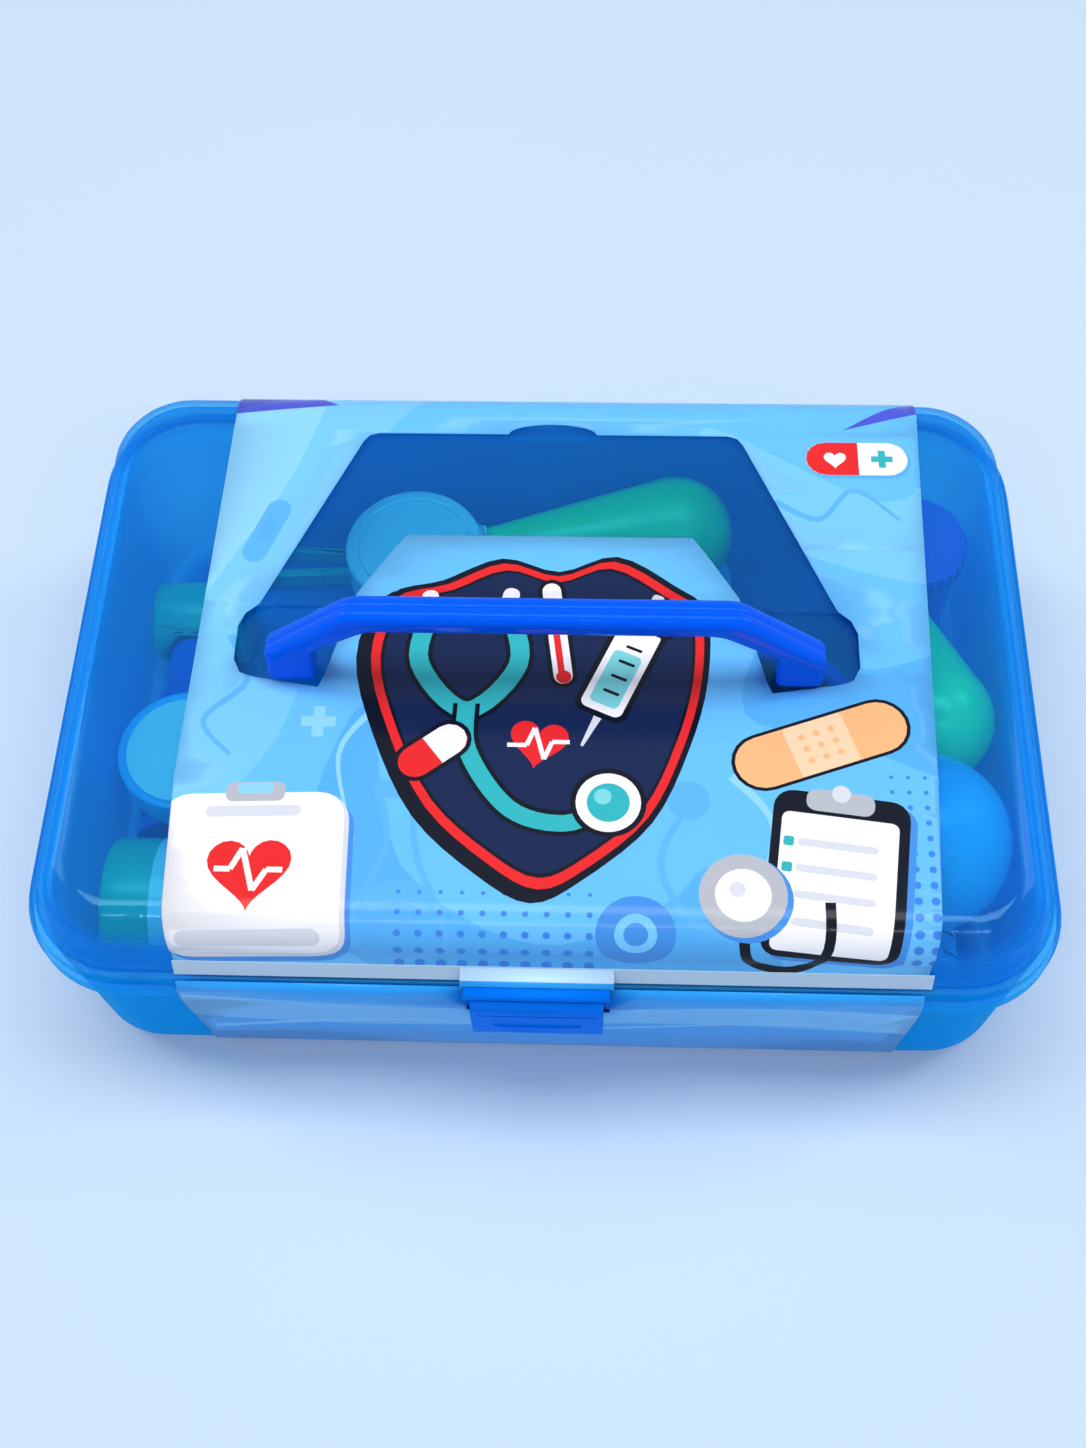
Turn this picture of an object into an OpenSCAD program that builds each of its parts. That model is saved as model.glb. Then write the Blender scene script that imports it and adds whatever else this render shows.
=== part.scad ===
// Toy doctor case: a moulded tray and a clear hinged lid, with a swing handle,
// a front latch, a printed film sleeve, and a set of toy instruments inside.
// Millimetres, +Z up, +X to the right, +Y to the hinge. Z = 0 is the surface
// that the tray's four pads stand on, and X = Y = 0 is the middle of the case.

/* [Case] */
// Width of the lid at its lower edge
case_w = 260; // [250:1:320]
// Depth of the lid at its lower edge
case_d = 177; // [172:1:220]
// Height of the closed case, without the handle
case_h = 79.3; // [77:0.1:110]
// Plan radius of the case's corners
corner_r = 24.4; // [21:0.1:34]

/* [Lid] */
// Height of the lid from its lower edge to its flat top
lid_h = 17.6; // [15:0.1:22]
// Thickness of the lid
lid_wall = 1.8; // [1.2:0.1:2.4]
// How far the lid's wall leans in from its lower edge to its shoulder
lid_draft = 2.9; // [1.5:0.1:4]
// Radius of the rounded shoulder round the flat top
shoulder_r = 9.9; // [7:0.1:12]
// Width of the shallow recess round the handle's feet
recess_w = 168; // [164:1:180]
// Depth, front to back, of that recess
recess_d = 40.6; // [36:0.1:46]
// How deep the recess is sunk in the flat top
recess_sink = 1.2; // [0.8:0.1:1.6]

/* [Tray] */
// Thickness of the tray's wall and floor
tray_wall = 2; // [1.4:0.1:2.6]
// How far the wall's foot lies inside the lid's lower edge
tray_inset = 2.5; // [1.5:0.1:6]
// Radius round the bottom of the wall
bottom_r = 6; // [4:0.1:9]
// Height of the pads that the tray stands on
pad_h = 0.8; // [0.6:0.1:1.6]
// How far the rim's flange stands out past the lid
flange_out = 2.9; // [2:0.1:4]
// Height of the flange's face
flange_h = 6; // [4:0.1:8]
// How far the curb above the flange stands out past the lid
curb_out = 1.6; // [1:0.1:1.8]
// Height of the curb
curb_h = 3.7; // [3:0.1:5]
// How far the lip rises inside the lid
lip_h = 5; // [3:0.1:6]
// Thickness of the lip
lip_t = 1.5; // [1.2:0.1:2]

/* [Handle] */
// Width over the handle's two feet
handle_w = 144; // [140:1:156]
// Straight length of the grip bar
grip_w = 88; // [80:1:100]
// Height of the grip's top above the lid
handle_rise = 30.7; // [26:0.1:40]
// Height of the grip bar
grip_h = 7.5; // [6:0.1:9]
// Front-to-back thickness of the handle
handle_t = 8.5; // [7.5:0.1:9]
// Width of each foot
foot_w = 12; // [11:0.1:13]
// Radius of the stub that each foot turns on
stub_r = 1.9; // [1.5:0.1:2.2]

/* [Hinge and latch] */
// How far the latch and the hinges stand out past the flange
proud = 5; // [4.9:0.1:6]
// Distance of each hinge from the middle
hinge_x = 62; // [50:1:80]
// Radius of the hinge knuckles
knuckle_r = 2.8; // [2.6:0.1:3]
// Radius of the hinge pins
hinge_pin_r = 1.3; // [1:0.1:1.5]
// Width of the latch
latch_w = 33.2; // [28:0.1:40]
// Height of the latch's front face
latch_h = 15.9; // [14:0.1:18]
// Radius of the latch's pin
latch_pin_r = 0.9; // [0.8:0.05:1]

/* [Sleeve] */
// Width of the printed film sleeve
sleeve_w = 188; // [176:1:192]
// How far the sleeve sits to the right of the middle
sleeve_shift = 3.3; // [0:0.1:4]
// Thickness of the film
film_t = 0.4; // [0.3:0.05:0.5]
// Width of the tape over the sleeve's seam
tape_w = 4.6; // [3:0.1:5]

/* [Toys] */
// Radius of the syringe's barrel
syringe_r = 11; // [10:0.5:12]
// Length of the syringe's barrel
syringe_len = 54; // [46:1:56]
// Radius of the pump's bulb
pump_r = 24; // [20:0.5:24]
// Radius of the bulb aspirator's round end
aspirator_r = 17.5; // [14:0.5:18]
// Radius of the round end of the otoscope's handle
otoscope_r = 17; // [13:0.5:18]
// Radius of the otoscope's head
otoscope_head_r = 20; // [16:0.5:21]
// Radius of the hammer's grip
hammer_r = 11; // [9:0.5:12]
// Radius of the round pressure gauge
gauge_r = 22; // [18:0.5:23]
// Radius of the stethoscope's chest piece
chest_r = 19; // [15:0.5:20]
// Radius of the stethoscope's tube
tube_r = 3; // [2.5:0.1:3.2]
// Radius of the lying pill bottle
pill_r = 19; // [15:0.5:20]

/* [Hidden] */
$fn = 72;

// clearances
seat_gap = 0.3;      // between parts that rest on or near each other
run_gap = 0.05;      // radial, round a shaft that turns
film_gap = 0.1;      // between the film and what it lies on
eps = 0.01;

// half sizes and the heights of the rim, from the top down
half_w = case_w / 2;
half_d = case_d / 2;
lid_z = case_h - lid_h;               // lid's lower edge
curb_z = lid_z - seat_gap;            // top of the tray's curb
ledge_z = curb_z - curb_h;            // top of the flange
flange_z = ledge_z - flange_h;        // underside of the flange
lip_z = curb_z + lip_h;
wall_inset = 0.5;                     // tray wall under the flange, inside the lid's edge
floor_z = pad_h + tray_wall;
shoulder_z = case_h - shoulder_r;     // where the lid's wall meets its shoulder
lean = lid_draft / (shoulder_z - lid_z);
lip_foot = lid_wall + seat_gap + 0.1; // lip's outer face at the curb, inside the lid's edge
lip_head = lip_foot + lean * (lip_z - lid_z) + 0.1;

// colours
clear_blue = [0.14, 0.5, 0.92, 0.5];
deep_blue = [0.02, 0.4, 0.92];
solid_blue = [0, 0.33, 0.96];
print_blue = [0.41, 0.75, 0.99];
toy_green = [0.02, 0.62, 0.45];
toy_teal = [0.1, 0.6, 0.65];
toy_purple = [0.35, 0.25, 0.75];
toy_sky = [0.35, 0.7, 0.95];
toy_navy = [0.1, 0.2, 0.6];
toy_red = [0.9, 0.2, 0.2];
toy_white = [0.95, 0.96, 0.98];
toy_clear = [0.75, 0.85, 0.95, 0.6];

// ---------- helpers ----------

// Sweep a profile round a rounded rectangle: the profile's X is measured out
// from the corners' own axes, and its Y is the height.
module sweep_round(w, d, r) {
    for (turn = [0, 180]) rotate([0, 0, turn]) {
        translate([w / 2 - r, d / 2 - r, 0]) rotate_extrude(angle = 90) children();
        translate([r - w / 2, d / 2 - r, 0]) rotate([0, 0, 90]) rotate_extrude(angle = 90) children();
        translate([r - w / 2, d / 2 - r, 0]) rotate([90, 0, 90]) linear_extrude(w - 2 * r) children();
        translate([w / 2 - r, d / 2 - r, 0]) rotate([90, 0, 0]) linear_extrude(d - 2 * r) children();
    }
}

module round_rect(w, d, r) {
    square([w - 2 * r, d], center = true);
    square([w, d - 2 * r], center = true);
    for (sx = [-1, 1], sy = [-1, 1]) translate([sx * (w / 2 - r), sy * (d / 2 - r)]) circle(r);
}

module plate(w, d, r, h) {
    linear_extrude(h) round_rect(w, d, r);
}

// Extrude a Y-Z outline along X, with its middle at x = 0.
module along_x(length) {
    translate([-length / 2, 0, 0]) rotate([90, 0, 90]) linear_extrude(length) children();
}

module on_x(length, r) {
    rotate([0, 90, 0]) cylinder(h = length, r = r, center = true);
}

module mirror_x() {
    children();
    mirror([1, 0, 0]) children();
}

// Replace each corner of an outline by an arc: corners are [x, y, radius].
function unit(v) = v / norm(v);
function arc_corner(before, here, after, r, steps = 6) =
    let (
        a = unit(before - here),
        b = unit(after - here),
        half = acos(a * b) / 2,
        centre = here + unit(a + b) * r / sin(half),
        from = here + a * r / tan(half) - centre,
        to = here + b * r / tan(half) - centre)
    [for (i = [0:steps]) centre + r * unit(from * (1 - i / steps) + to * (i / steps))];
function xy(corner) = [corner[0], corner[1]];
function rounded(corners) = [for (i = [0:len(corners) - 1])
    let (
        n = len(corners),
        here = corners[i],
        before = corners[(i + n - 1) % n],
        after = corners[(i + 1) % n])
    each (here[2] > 0 ? arc_corner(xy(before), xy(here), xy(after), here[2]) : [xy(here)])];
function mirrored(corners) = [for (i = [len(corners) - 1:-1:0])
    [-corners[i][0], corners[i][1], corners[i][2]]];

// A pear: two spheres on the X axis, joined by a cone that lies a hair inside
// the one that touches both, so that the faces cross. Its small end is cut off
// flat at `end`, and a nozzle may stand on that.
module pear(big_r, small_r, length, end, nozzle_r = 0, nozzle_len = 0) {
    taper = asin((big_r - small_r) / length);
    big = (big_r - 0.1) * [cos(taper), sin(taper)];
    small = (small_r - 0.1) * [cos(taper), sin(taper)] + [0, length];
    rotate([0, 90, 0]) rotate_extrude() {
        intersection() {
            union() {
                circle(big_r);
                translate([0, length]) circle(small_r);
                polygon([[0, big[1]], big, small, [0, small[1]]]);
            }
            translate([0, -big_r]) square([big_r, end + big_r]);
        }
        if (nozzle_r > 0) translate([0, length]) square([nozzle_r, end - length + nozzle_len]);
    }
}

// ---------- tray ----------

module tray_outline() {
    turn_x = corner_r - tray_inset - bottom_r;
    polygon([
        [0, pad_h], [turn_x, pad_h], [turn_x + bottom_r, pad_h + bottom_r],
        [corner_r - wall_inset, flange_z], [corner_r + flange_out, flange_z],
        [corner_r + flange_out, ledge_z], [corner_r + curb_out, ledge_z],
        [corner_r + curb_out, curb_z], [corner_r - lip_foot, curb_z],
        [corner_r - lip_head, lip_z], [corner_r - lip_head - lip_t, lip_z], [0, lip_z]]);
    translate([turn_x, pad_h + bottom_r]) circle(bottom_r);
}

module tray_hollow() {
    turn_r = bottom_r - tray_wall;
    turn_x = corner_r - tray_inset - bottom_r;
    polygon([
        [-eps, floor_z], [turn_x, floor_z], [turn_x + turn_r, floor_z + turn_r],
        [corner_r - wall_inset - tray_wall, flange_z],
        [corner_r - lip_head - lip_t, lip_z], [corner_r - lip_head - lip_t, lip_z + 1], [-eps, lip_z + 1]]);
    translate([turn_x, floor_z + turn_r]) circle(turn_r);
}

hinge_y = half_d + flange_out + proud - knuckle_r;
hinge_z = ledge_z + 0.5;
lid_knuckle = 11.8;                   // length of the lid's knuckle
tray_knuckle = 6;                     // length of each of the tray's two knuckles
knuckle_gap = 0.4;

module tray_knuckle_pair() {
    for (side = [-1, 1])
        translate([side * (lid_knuckle / 2 + knuckle_gap + tray_knuckle / 2), hinge_y, hinge_z])
            difference() {
                union() {
                    on_x(tray_knuckle, knuckle_r);
                    translate([0, (half_d - hinge_y) / 2, -knuckle_r / 2])
                        cube([tray_knuckle, hinge_y - half_d, knuckle_r], center = true);
                }
                on_x(tray_knuckle + 1, hinge_pin_r);
            }
}

module tray() {
    pad_r = 6;
    color(deep_blue) {
        difference() {
            union() {
                sweep_round(case_w, case_d, corner_r) difference() {
                    intersection() {
                        tray_outline();
                        square([corner_r + flange_out, lip_z]);
                    }
                    tray_hollow();
                }
                translate([0, 0, pad_h + tray_wall / 2])
                    cube([case_w - 2 * corner_r, case_d - 2 * corner_r, tray_wall], center = true);
            }
            for (side = [-1, 1]) translate([side * hinge_x, hinge_y, hinge_z])
                on_x(lid_knuckle + 2 * knuckle_gap, knuckle_r + seat_gap);
        }
        for (side = [-1, 1]) translate([side * hinge_x, 0, 0]) tray_knuckle_pair();
        for (sx = [-1, 1], sy = [-1, 1])
            translate([sx * (half_w - corner_r + 2), sy * (half_d - corner_r + 2), 0])
                cylinder(h = pad_h + eps, r = pad_r);
    }
}

// ---------- lid ----------

turn_lid = corner_r - lid_draft - shoulder_r;   // centre of the shoulder's arc

module lid_section(inset) {
    r = shoulder_r - inset;
    polygon([
        [-eps, lid_z - inset], [corner_r - inset, lid_z - inset],
        [corner_r - inset, lid_z], [turn_lid + r, shoulder_z],
        [turn_lid, shoulder_z + r], [-eps, shoulder_z + r]]);
    translate([turn_lid, shoulder_z]) circle(r);
}

pivot_y = -9.5;                        // handle's pivot, from the middle of the case
pivot_z = case_h + 4;
recess_y = -10.7;
recess_z = case_h - recess_sink;
foot_x = (handle_w - foot_w) / 2;      // middle of each foot
lug_t = 6;
lug_r = 3.1;

module lid_lug() {
    translate([foot_x, pivot_y, 0]) along_x(lug_t) {
        translate([0, pivot_z]) circle(lug_r);
        translate([-lug_r, recess_z - lid_wall / 2]) square([2 * lug_r, pivot_z - recess_z + lid_wall / 2]);
    }
}

latch_face_y = -(half_d + flange_out + proud);
latch_y = latch_face_y + 3.1;          // latch's pin
latch_z = lid_z - 1.4;
latch_barrel_r = 1.8;
ear_t = 1.2;
ear_gap = 0.3;
tab_w = latch_w + 2 * (ear_gap + ear_t);
tab_z = latch_z + 2.4;                 // underside of the tab over the latch
tab_edge_y = latch_y - 1;

module lid_tab() {
    along_x(tab_w) polygon([
        [lid_wall / 2 - half_d, lid_z + 0.5], [-half_d - curb_out, tab_z], [tab_edge_y, tab_z],
        [tab_edge_y, tab_z + 0.9], [tab_edge_y + 0.6, tab_z + 1.4],
        [lid_wall - half_d, tab_z + 3.2]]);
    for (side = [-1, 1]) translate([side * (latch_w / 2 + ear_gap + ear_t / 2), 0, 0]) difference() {
        along_x(ear_t) {
            translate([latch_y, latch_z]) circle(latch_barrel_r);
            translate([latch_y - 1, latch_z]) square([latch_barrel_r + 1, tab_z + 0.5 - latch_z]);
        }
        translate([0, latch_y, latch_z]) on_x(ear_t + 1, latch_pin_r);
    }
}

module lid_knuckle_arm() {
    difference() {
        along_x(lid_knuckle) {
            polygon([
                [half_d - lid_wall + 0.1, lid_z + 0.3], [half_d + curb_out + 0.3, lid_z + 0.3],
                [hinge_y - knuckle_r * 0.7, hinge_z + knuckle_r * 0.7], [hinge_y, hinge_z],
                [hinge_y + knuckle_r * 0.7, hinge_z + knuckle_r * 0.7],
                [half_d + 0.6, lid_z + 3.2], [half_d - lid_wall + 0.1, lid_z + 3.2]]);
            translate([hinge_y, hinge_z]) circle(knuckle_r);
        }
        translate([0, hinge_y, hinge_z]) on_x(lid_knuckle + 1, hinge_pin_r + run_gap);
    }
}

module lid() {
    recess_r = 8;
    color(clear_blue) {
        difference() {
            union() {
                sweep_round(case_w, case_d, corner_r) difference() {
                    intersection() {
                        lid_section(0);
                        translate([0, lid_z]) square([corner_r, lid_h]);
                    }
                    lid_section(lid_wall);
                }
                translate([0, 0, case_h - lid_wall / 2])
                    cube([case_w - 2 * corner_r, case_d - 2 * corner_r, lid_wall], center = true);
                translate([0, recess_y, recess_z - lid_wall])
                    plate(recess_w + 2 * lid_wall, recess_d + 2 * lid_wall, recess_r + lid_wall, lid_wall);
            }
            translate([0, recess_y, recess_z]) plate(recess_w, recess_d, recess_r, recess_sink + 1);
        }
        mirror_x() difference() {
            lid_lug();
            translate([foot_x, pivot_y, pivot_z]) on_x(lug_t + 1, stub_r + run_gap);
        }
        lid_tab();
        for (side = [-1, 1]) translate([side * hinge_x, 0, 0]) lid_knuckle_arm();
    }
}

module hinge_pins() {
    color(solid_blue) for (side = [-1, 1]) translate([side * hinge_x, hinge_y, hinge_z])
        on_x(lid_knuckle + 2 * (knuckle_gap + tray_knuckle), hinge_pin_r);
}

// ---------- handle ----------

handle_front = pivot_y - 4.75;
handle_foot_z = case_h + 1.1;
handle_top = case_h + handle_rise;

module handle() {
    bend_r = 5;
    arm_x = handle_w / 2 - foot_w;
    shoulder = handle_foot_z + 11;     // where each foot turns into its arm
    outer = [
        [handle_w / 2, handle_foot_z, 1.5], [handle_w / 2, shoulder, 2.5],
        [grip_w / 2 + 5, handle_top, 2 * bend_r]];
    inner = [
        [grip_w / 2, handle_top - grip_h, 2 * bend_r], [arm_x - 1, shoulder + 1, bend_r],
        [arm_x, handle_foot_z, 0.5]];
    outline = concat(outer, mirrored(outer), mirrored(inner), inner);
    slot_t = lug_t + 2 * seat_gap;
    slot_top = pivot_z + lug_r + seat_gap;
    slot_front = pivot_y - lug_r - seat_gap / 2;
    color(solid_blue) {
        difference() {
            translate([0, handle_front + handle_t, 0]) rotate([90, 0, 0])
                linear_extrude(handle_t) polygon(rounded(outline));
            mirror_x() translate([foot_x - slot_t / 2, slot_front, handle_foot_z - 1])
                cube([slot_t, handle_t, slot_top - handle_foot_z + 1]);
        }
        mirror_x() translate([foot_x, pivot_y, pivot_z]) on_x(slot_t + 1, stub_r);
    }
}

// ---------- latch ----------

module latch() {
    face_top = latch_z - 0.9;
    face_low = face_top - latch_h;
    skin = 2;
    back_y = -(half_d + flange_out + film_gap + film_t + seat_gap);
    color(solid_blue) difference() {
        union() {
            translate([0, latch_y, latch_z]) on_x(latch_w, latch_barrel_r);
            along_x(latch_w) polygon([
                [latch_face_y, face_top], [latch_y - 1.2, latch_z + 1.7], [latch_y, latch_z],
                [latch_face_y + skin, face_top - skin], [latch_face_y + skin, face_low + skin],
                [back_y, face_low + skin], [back_y, face_low + 0.8],
                [back_y - 0.8, face_low], [latch_face_y + 1, face_low], [latch_face_y, face_low + 1]]);
            for (side = [-1, 1]) translate([side * (latch_w - skin) / 2, 0, 0]) along_x(skin) polygon([
                [latch_face_y + 1, face_low + 0.5], [back_y, face_low + 1], [back_y, latch_z],
                [latch_face_y + 1, face_top]]);
        }
        translate([0, latch_y, latch_z]) on_x(latch_w + 1, latch_pin_r + run_gap);
    }
}

module latch_pin() {
    color(solid_blue) translate([0, latch_y, latch_z]) on_x(tab_w, latch_pin_r);
}

// ---------- sleeve ----------

// Paths are [y, z] points on one side of the film: g is its distance from what it covers.
function lid_path(g, low_z) = concat(
    [for (a = [90:-15:0]) [half_d - corner_r + turn_lid + (shoulder_r + g) * cos(a),
        shoulder_z + (shoulder_r + g) * sin(a)]],
    [[half_d + g - lean * (low_z - lid_z), low_z]]);
function tray_path(g) = let (turn_y = half_d - tray_inset - bottom_r) concat(
    [for (a = [-90:15:0]) [turn_y + (bottom_r + g) * cos(a), pad_h + bottom_r + (bottom_r + g) * sin(a)]],
    [[half_d + flange_out + g, flange_z]]);
function to_front(path) = [for (i = [len(path) - 1:-1:0]) [-path[i][0], path[i][1]]];
function reversed(path) = [for (i = [len(path) - 1:-1:0]) path[i]];

film_end_z = lid_z + 0.4;              // lower edge of the sleeve's upper half
sleeve_back_z = hinge_z - knuckle_r - 1;

// The window in the sleeve, as [x, y, corner radius] for its right half. Its notches let
// the handle's feet through, so their corners are set from the foot's middle.
window_outer = [
    [foot_x - 6.8, -15.7, 1], [foot_x + 12.6, -12.6, 4], [foot_x + 16.3, -9.4, 3],
    [foot_x + 16.4, 5.3, 4], [foot_x + 11.4, 10, 1.5], [foot_x - 13.6, 68.6, 4]];
window_tongue = [[foot_x - 26.8, 33.2, 6], [foot_x - 14.6, 13.6, 0], [foot_x - 8.2, -12, 0]];

module window() {
    polygon(rounded(concat(window_outer, mirrored(window_outer), mirrored(window_tongue), window_tongue)));
    bump_w = 12.5;
    bump_h = 3.6;
    bump_r = (bump_w * bump_w + bump_h * bump_h) / (2 * bump_h);
    edge_y = window_outer[5][1];
    intersection() {
        translate([0, edge_y + bump_h - bump_r]) circle(bump_r);
        translate([-2 * bump_w, edge_y - 1]) square([4 * bump_w, bump_h + 2]);
    }
}

module sleeve_upper() {
    near = film_gap;
    far = film_gap + film_t;
    color(print_blue) difference() {
        translate([sleeve_shift, 0, 0]) along_x(sleeve_w) polygon(concat(
            to_front(lid_path(far, film_end_z)), lid_path(far, film_end_z),
            reversed(lid_path(near, film_end_z)), reversed(to_front(lid_path(near, film_end_z)))));
        translate([0, 0, case_h - 1]) linear_extrude(3) window();
        translate([0, -half_d, tab_z])
            cube([tab_w + 2 * seat_gap, 2 * (curb_out + flange_out), 2 * (3.2 + seat_gap)], center = true);
        for (side = [-1, 1]) translate([side * hinge_x, half_d, lid_z])
            cube([lid_knuckle + 2 * knuckle_gap, 6, 2 * (3.2 + seat_gap)], center = true);
    }
}

module sleeve_lower() {
    near = film_gap;
    far = film_gap + film_t;
    rim = half_d + flange_out;
    curb = half_d + curb_out;
    color(print_blue) difference() {
        translate([sleeve_shift, 0, 0]) along_x(sleeve_w) polygon(concat(
            [[-curb - far, curb_z - 0.2], [-rim - far, ledge_z + 0.1]],
            to_front(tray_path(far)), tray_path(far), [[rim + far, sleeve_back_z]],
            [[rim + near, sleeve_back_z]], reversed(tray_path(near)), reversed(to_front(tray_path(near))),
            [[-rim - near, ledge_z + 0.1], [-curb - near, curb_z - 0.2]]));
        translate([0, -rim, latch_z]) cube([tab_w + 2, 20, 2 * (latch_h + 2)], center = true);
    }
}

module seam_tape() {
    near = film_gap + film_t + 0.02;
    far = near + 0.2;
    tape_top = film_end_z + tape_w;
    function on_wall(g, z) = [-(half_d + g - lean * (z - lid_z)), z];
    color(toy_white) difference() {
        translate([sleeve_shift, 0, 0]) along_x(sleeve_w) polygon([
            on_wall(near, film_end_z), on_wall(near, tape_top), on_wall(far, tape_top), on_wall(far, film_end_z)]);
        translate([0, -half_d, tab_z])
            cube([tab_w + 2 * seat_gap, 2 * (curb_out + flange_out), 2 * (3.2 + seat_gap)], center = true);
    }
}

// ---------- toys ----------

toy_z = floor_z + seat_gap;            // underside of a toy on the tray's floor
inner_x = half_w - tray_inset - tray_wall;
inner_y = half_d - tray_inset - tray_wall;

// syringe, lying along the right wall
syringe_x = inner_x - 21.5;
syringe_z = toy_z + syringe_r;
syringe_y = -inner_y + 16;             // front end of the barrel
grip_y = syringe_y + syringe_len;      // back end of the barrel
syringe_wall = 1.6;
rod_len = 44;
seal_len = 5;
seal_y = grip_y - 27;

module along_y(y0, length, r) {
    translate([0, y0 + length, 0]) rotate([90, 0, 0]) cylinder(h = length, r = r);
}

module syringe_barrel() {
    nozzle_r = 3;
    color(toy_sky) translate([syringe_x, 0, syringe_z]) difference() {
        union() {
            along_y(syringe_y, syringe_len, syringe_r);
            along_y(syringe_y - 8, 8 + eps, nozzle_r);
            translate([0, grip_y - 1.25, 0]) cube([36, 2.5, 2 * syringe_r - 1], center = true);
        }
        along_y(syringe_y + syringe_wall, syringe_len, syringe_r - syringe_wall);
    }
}

module syringe_plunger() {
    rod_w = 2 * (syringe_r - syringe_wall) - 4;
    color(toy_white) translate([syringe_x, 0, syringe_z]) {
        for (turn = [0, 90]) rotate([0, turn, 0])
            translate([-rod_w / 2, seal_y + seal_len, -1]) cube([rod_w, rod_len, 2]);
        along_y(seal_y + seal_len + rod_len, 2.5, syringe_r - 0.5);
        along_y(seal_y + seal_len, 2, rod_w / 2);
    }
}

module syringe_seal() {
    color(toy_navy) translate([syringe_x, 0, syringe_z])
        along_y(seal_y, seal_len, syringe_r - syringe_wall - 0.1);
}

module syringe_cap() {
    color(toy_red) translate([syringe_x, 0, syringe_z]) difference() {
        along_y(syringe_y - 12, 11.5, 4.6);
        along_y(syringe_y - 8, 8, 3);
    }
}

// pump bulb, resting on the syringe's barrel at the right front
pump_x = half_w - flange_out - 27;
pump_y = syringe_y + 25;
pump_z = syringe_z + syringe_r + seat_gap + pump_r;
pump_len = 36;
pump_neck = pump_len + 4.5;            // from the bulb's middle to the valve's seat

module pump_bulb() {
    color(toy_sky) translate([pump_x, pump_y, pump_z]) rotate([0, 0, 180])
        pear(pump_r, 7, pump_len, pump_neck);
}

module pump_valve() {
    valve_len = 14;
    color(toy_white) translate([pump_x - pump_neck - valve_len / 2, pump_y, pump_z]) {
        on_x(valve_len, 5);
        translate([-valve_len / 2, 0, 0]) on_x(8, 2.4);
        cylinder(h = 8, r = 2);
        translate([0, 0, 7]) cylinder(h = 2.5, r = 4);
    }
}

// bulb aspirator, behind the pump bulb and leaning on it
aspirator_x = half_w - 22.4;
aspirator_y = pump_y + pump_r + aspirator_r - 0.9;
aspirator_z = pump_z - 6.4;

module bulb_aspirator() {
    length = 31;
    color(toy_green) translate([aspirator_x, aspirator_y, aspirator_z]) rotate([0, 0, 95])
        pear(aspirator_r, 6, length, length + 5, nozzle_r = 2.5, nozzle_len = 4);
}

// salve jar, standing in the right back corner, at the aspirator's nozzle
salve_x = inner_x - 20;
salve_y = aspirator_y + 56.4;
salve_r = 15;
salve_h = 40;

module salve_jar() {
    color(toy_purple) translate([salve_x, salve_y, toy_z]) {
        cylinder(h = salve_h, r = salve_r);
        translate([0, 0, salve_h - eps]) cylinder(h = 5, r = salve_r - 2);
    }
}

module salve_lid() {
    color(toy_purple) translate([salve_x, salve_y, toy_z + salve_h]) difference() {
        cylinder(h = 8, r = salve_r + 0.8);
        translate([0, 0, -1]) cylinder(h = 6, r = salve_r - 2);
    }
}

// medicine bottle, standing at the back under the otoscope
medicine_x = 38;
medicine_y = inner_y - 26;
medicine_r = 17;
medicine_h = 20;
medicine_cap_h = 8;

module medicine_bottle() {
    color(toy_sky) translate([medicine_x, medicine_y, toy_z]) {
        cylinder(h = medicine_h, r = medicine_r);
        translate([0, 0, medicine_h - eps]) cylinder(h = medicine_cap_h - 2, r = 10);
    }
}

module medicine_cap() {
    color(toy_white) translate([medicine_x, medicine_y, toy_z + medicine_h]) difference() {
        cylinder(h = medicine_cap_h, r = 12.5);
        translate([0, 0, -1]) cylinder(h = medicine_cap_h - 1, r = 10);
    }
}

// otoscope, lying on the medicine bottle's cap
otoscope_z = toy_z + medicine_h + medicine_cap_h + seat_gap + otoscope_r;
otoscope_len = 52;
otoscope_turn = 188;
otoscope_tip_r = 8;
otoscope_neck = otoscope_len + 3;      // where the handle meets the head's socket
head_t = 16;
head_x = otoscope_neck + otoscope_head_r + 2;

module otoscope_place() {
    translate([medicine_x - 2, medicine_y - 1, otoscope_z]) rotate([0, 0, otoscope_turn]) children();
}

module otoscope_handle() {
    color(toy_green) otoscope_place() pear(otoscope_r, otoscope_tip_r, otoscope_len, otoscope_neck);
}

module otoscope_head() {
    socket_w = 13;
    color(toy_clear) otoscope_place() difference() {
        union() {
            translate([head_x, 0, 0]) cylinder(h = head_t, r = otoscope_head_r, center = true);
            translate([otoscope_neck + socket_w / 2, 0, 0]) cube([socket_w, socket_w, head_t - 4], center = true);
        }
        translate([head_x, 0, head_t / 2 - 2]) cylinder(h = 3, r = otoscope_head_r - 4);
    }
}

module otoscope_lens() {
    color(toy_clear) otoscope_place() translate([head_x, 0, head_t / 2 - 2])
        cylinder(h = 1.6, r = otoscope_head_r - 4);
}

module otoscope_cone() {
    cone_len = otoscope_z - head_t / 2 - toy_z;   // its tip stands on the floor
    color(toy_teal) otoscope_place() translate([head_x, 0, -head_t / 2 - cone_len])
        cylinder(h = cone_len, r1 = 4, r2 = 11);
}

// reflex hammer, lying along the left wall
hammer_x = 16.5 - inner_x;
hammer_y = -30;                        // front end of the grip
hammer_len = 64;
hammer_z = toy_z + hammer_r;
hammer_head_r = 12.5;

module hammer_grip() {
    ribs = 7;
    pitch = 7;
    color(toy_navy) translate([hammer_x, 0, hammer_z]) {
        along_y(hammer_y + 3, hammer_len - 3, hammer_r - 1.6);
        for (i = [0:ribs - 1]) along_y(hammer_y + pitch * i, 4.4, hammer_r);
    }
}

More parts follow.
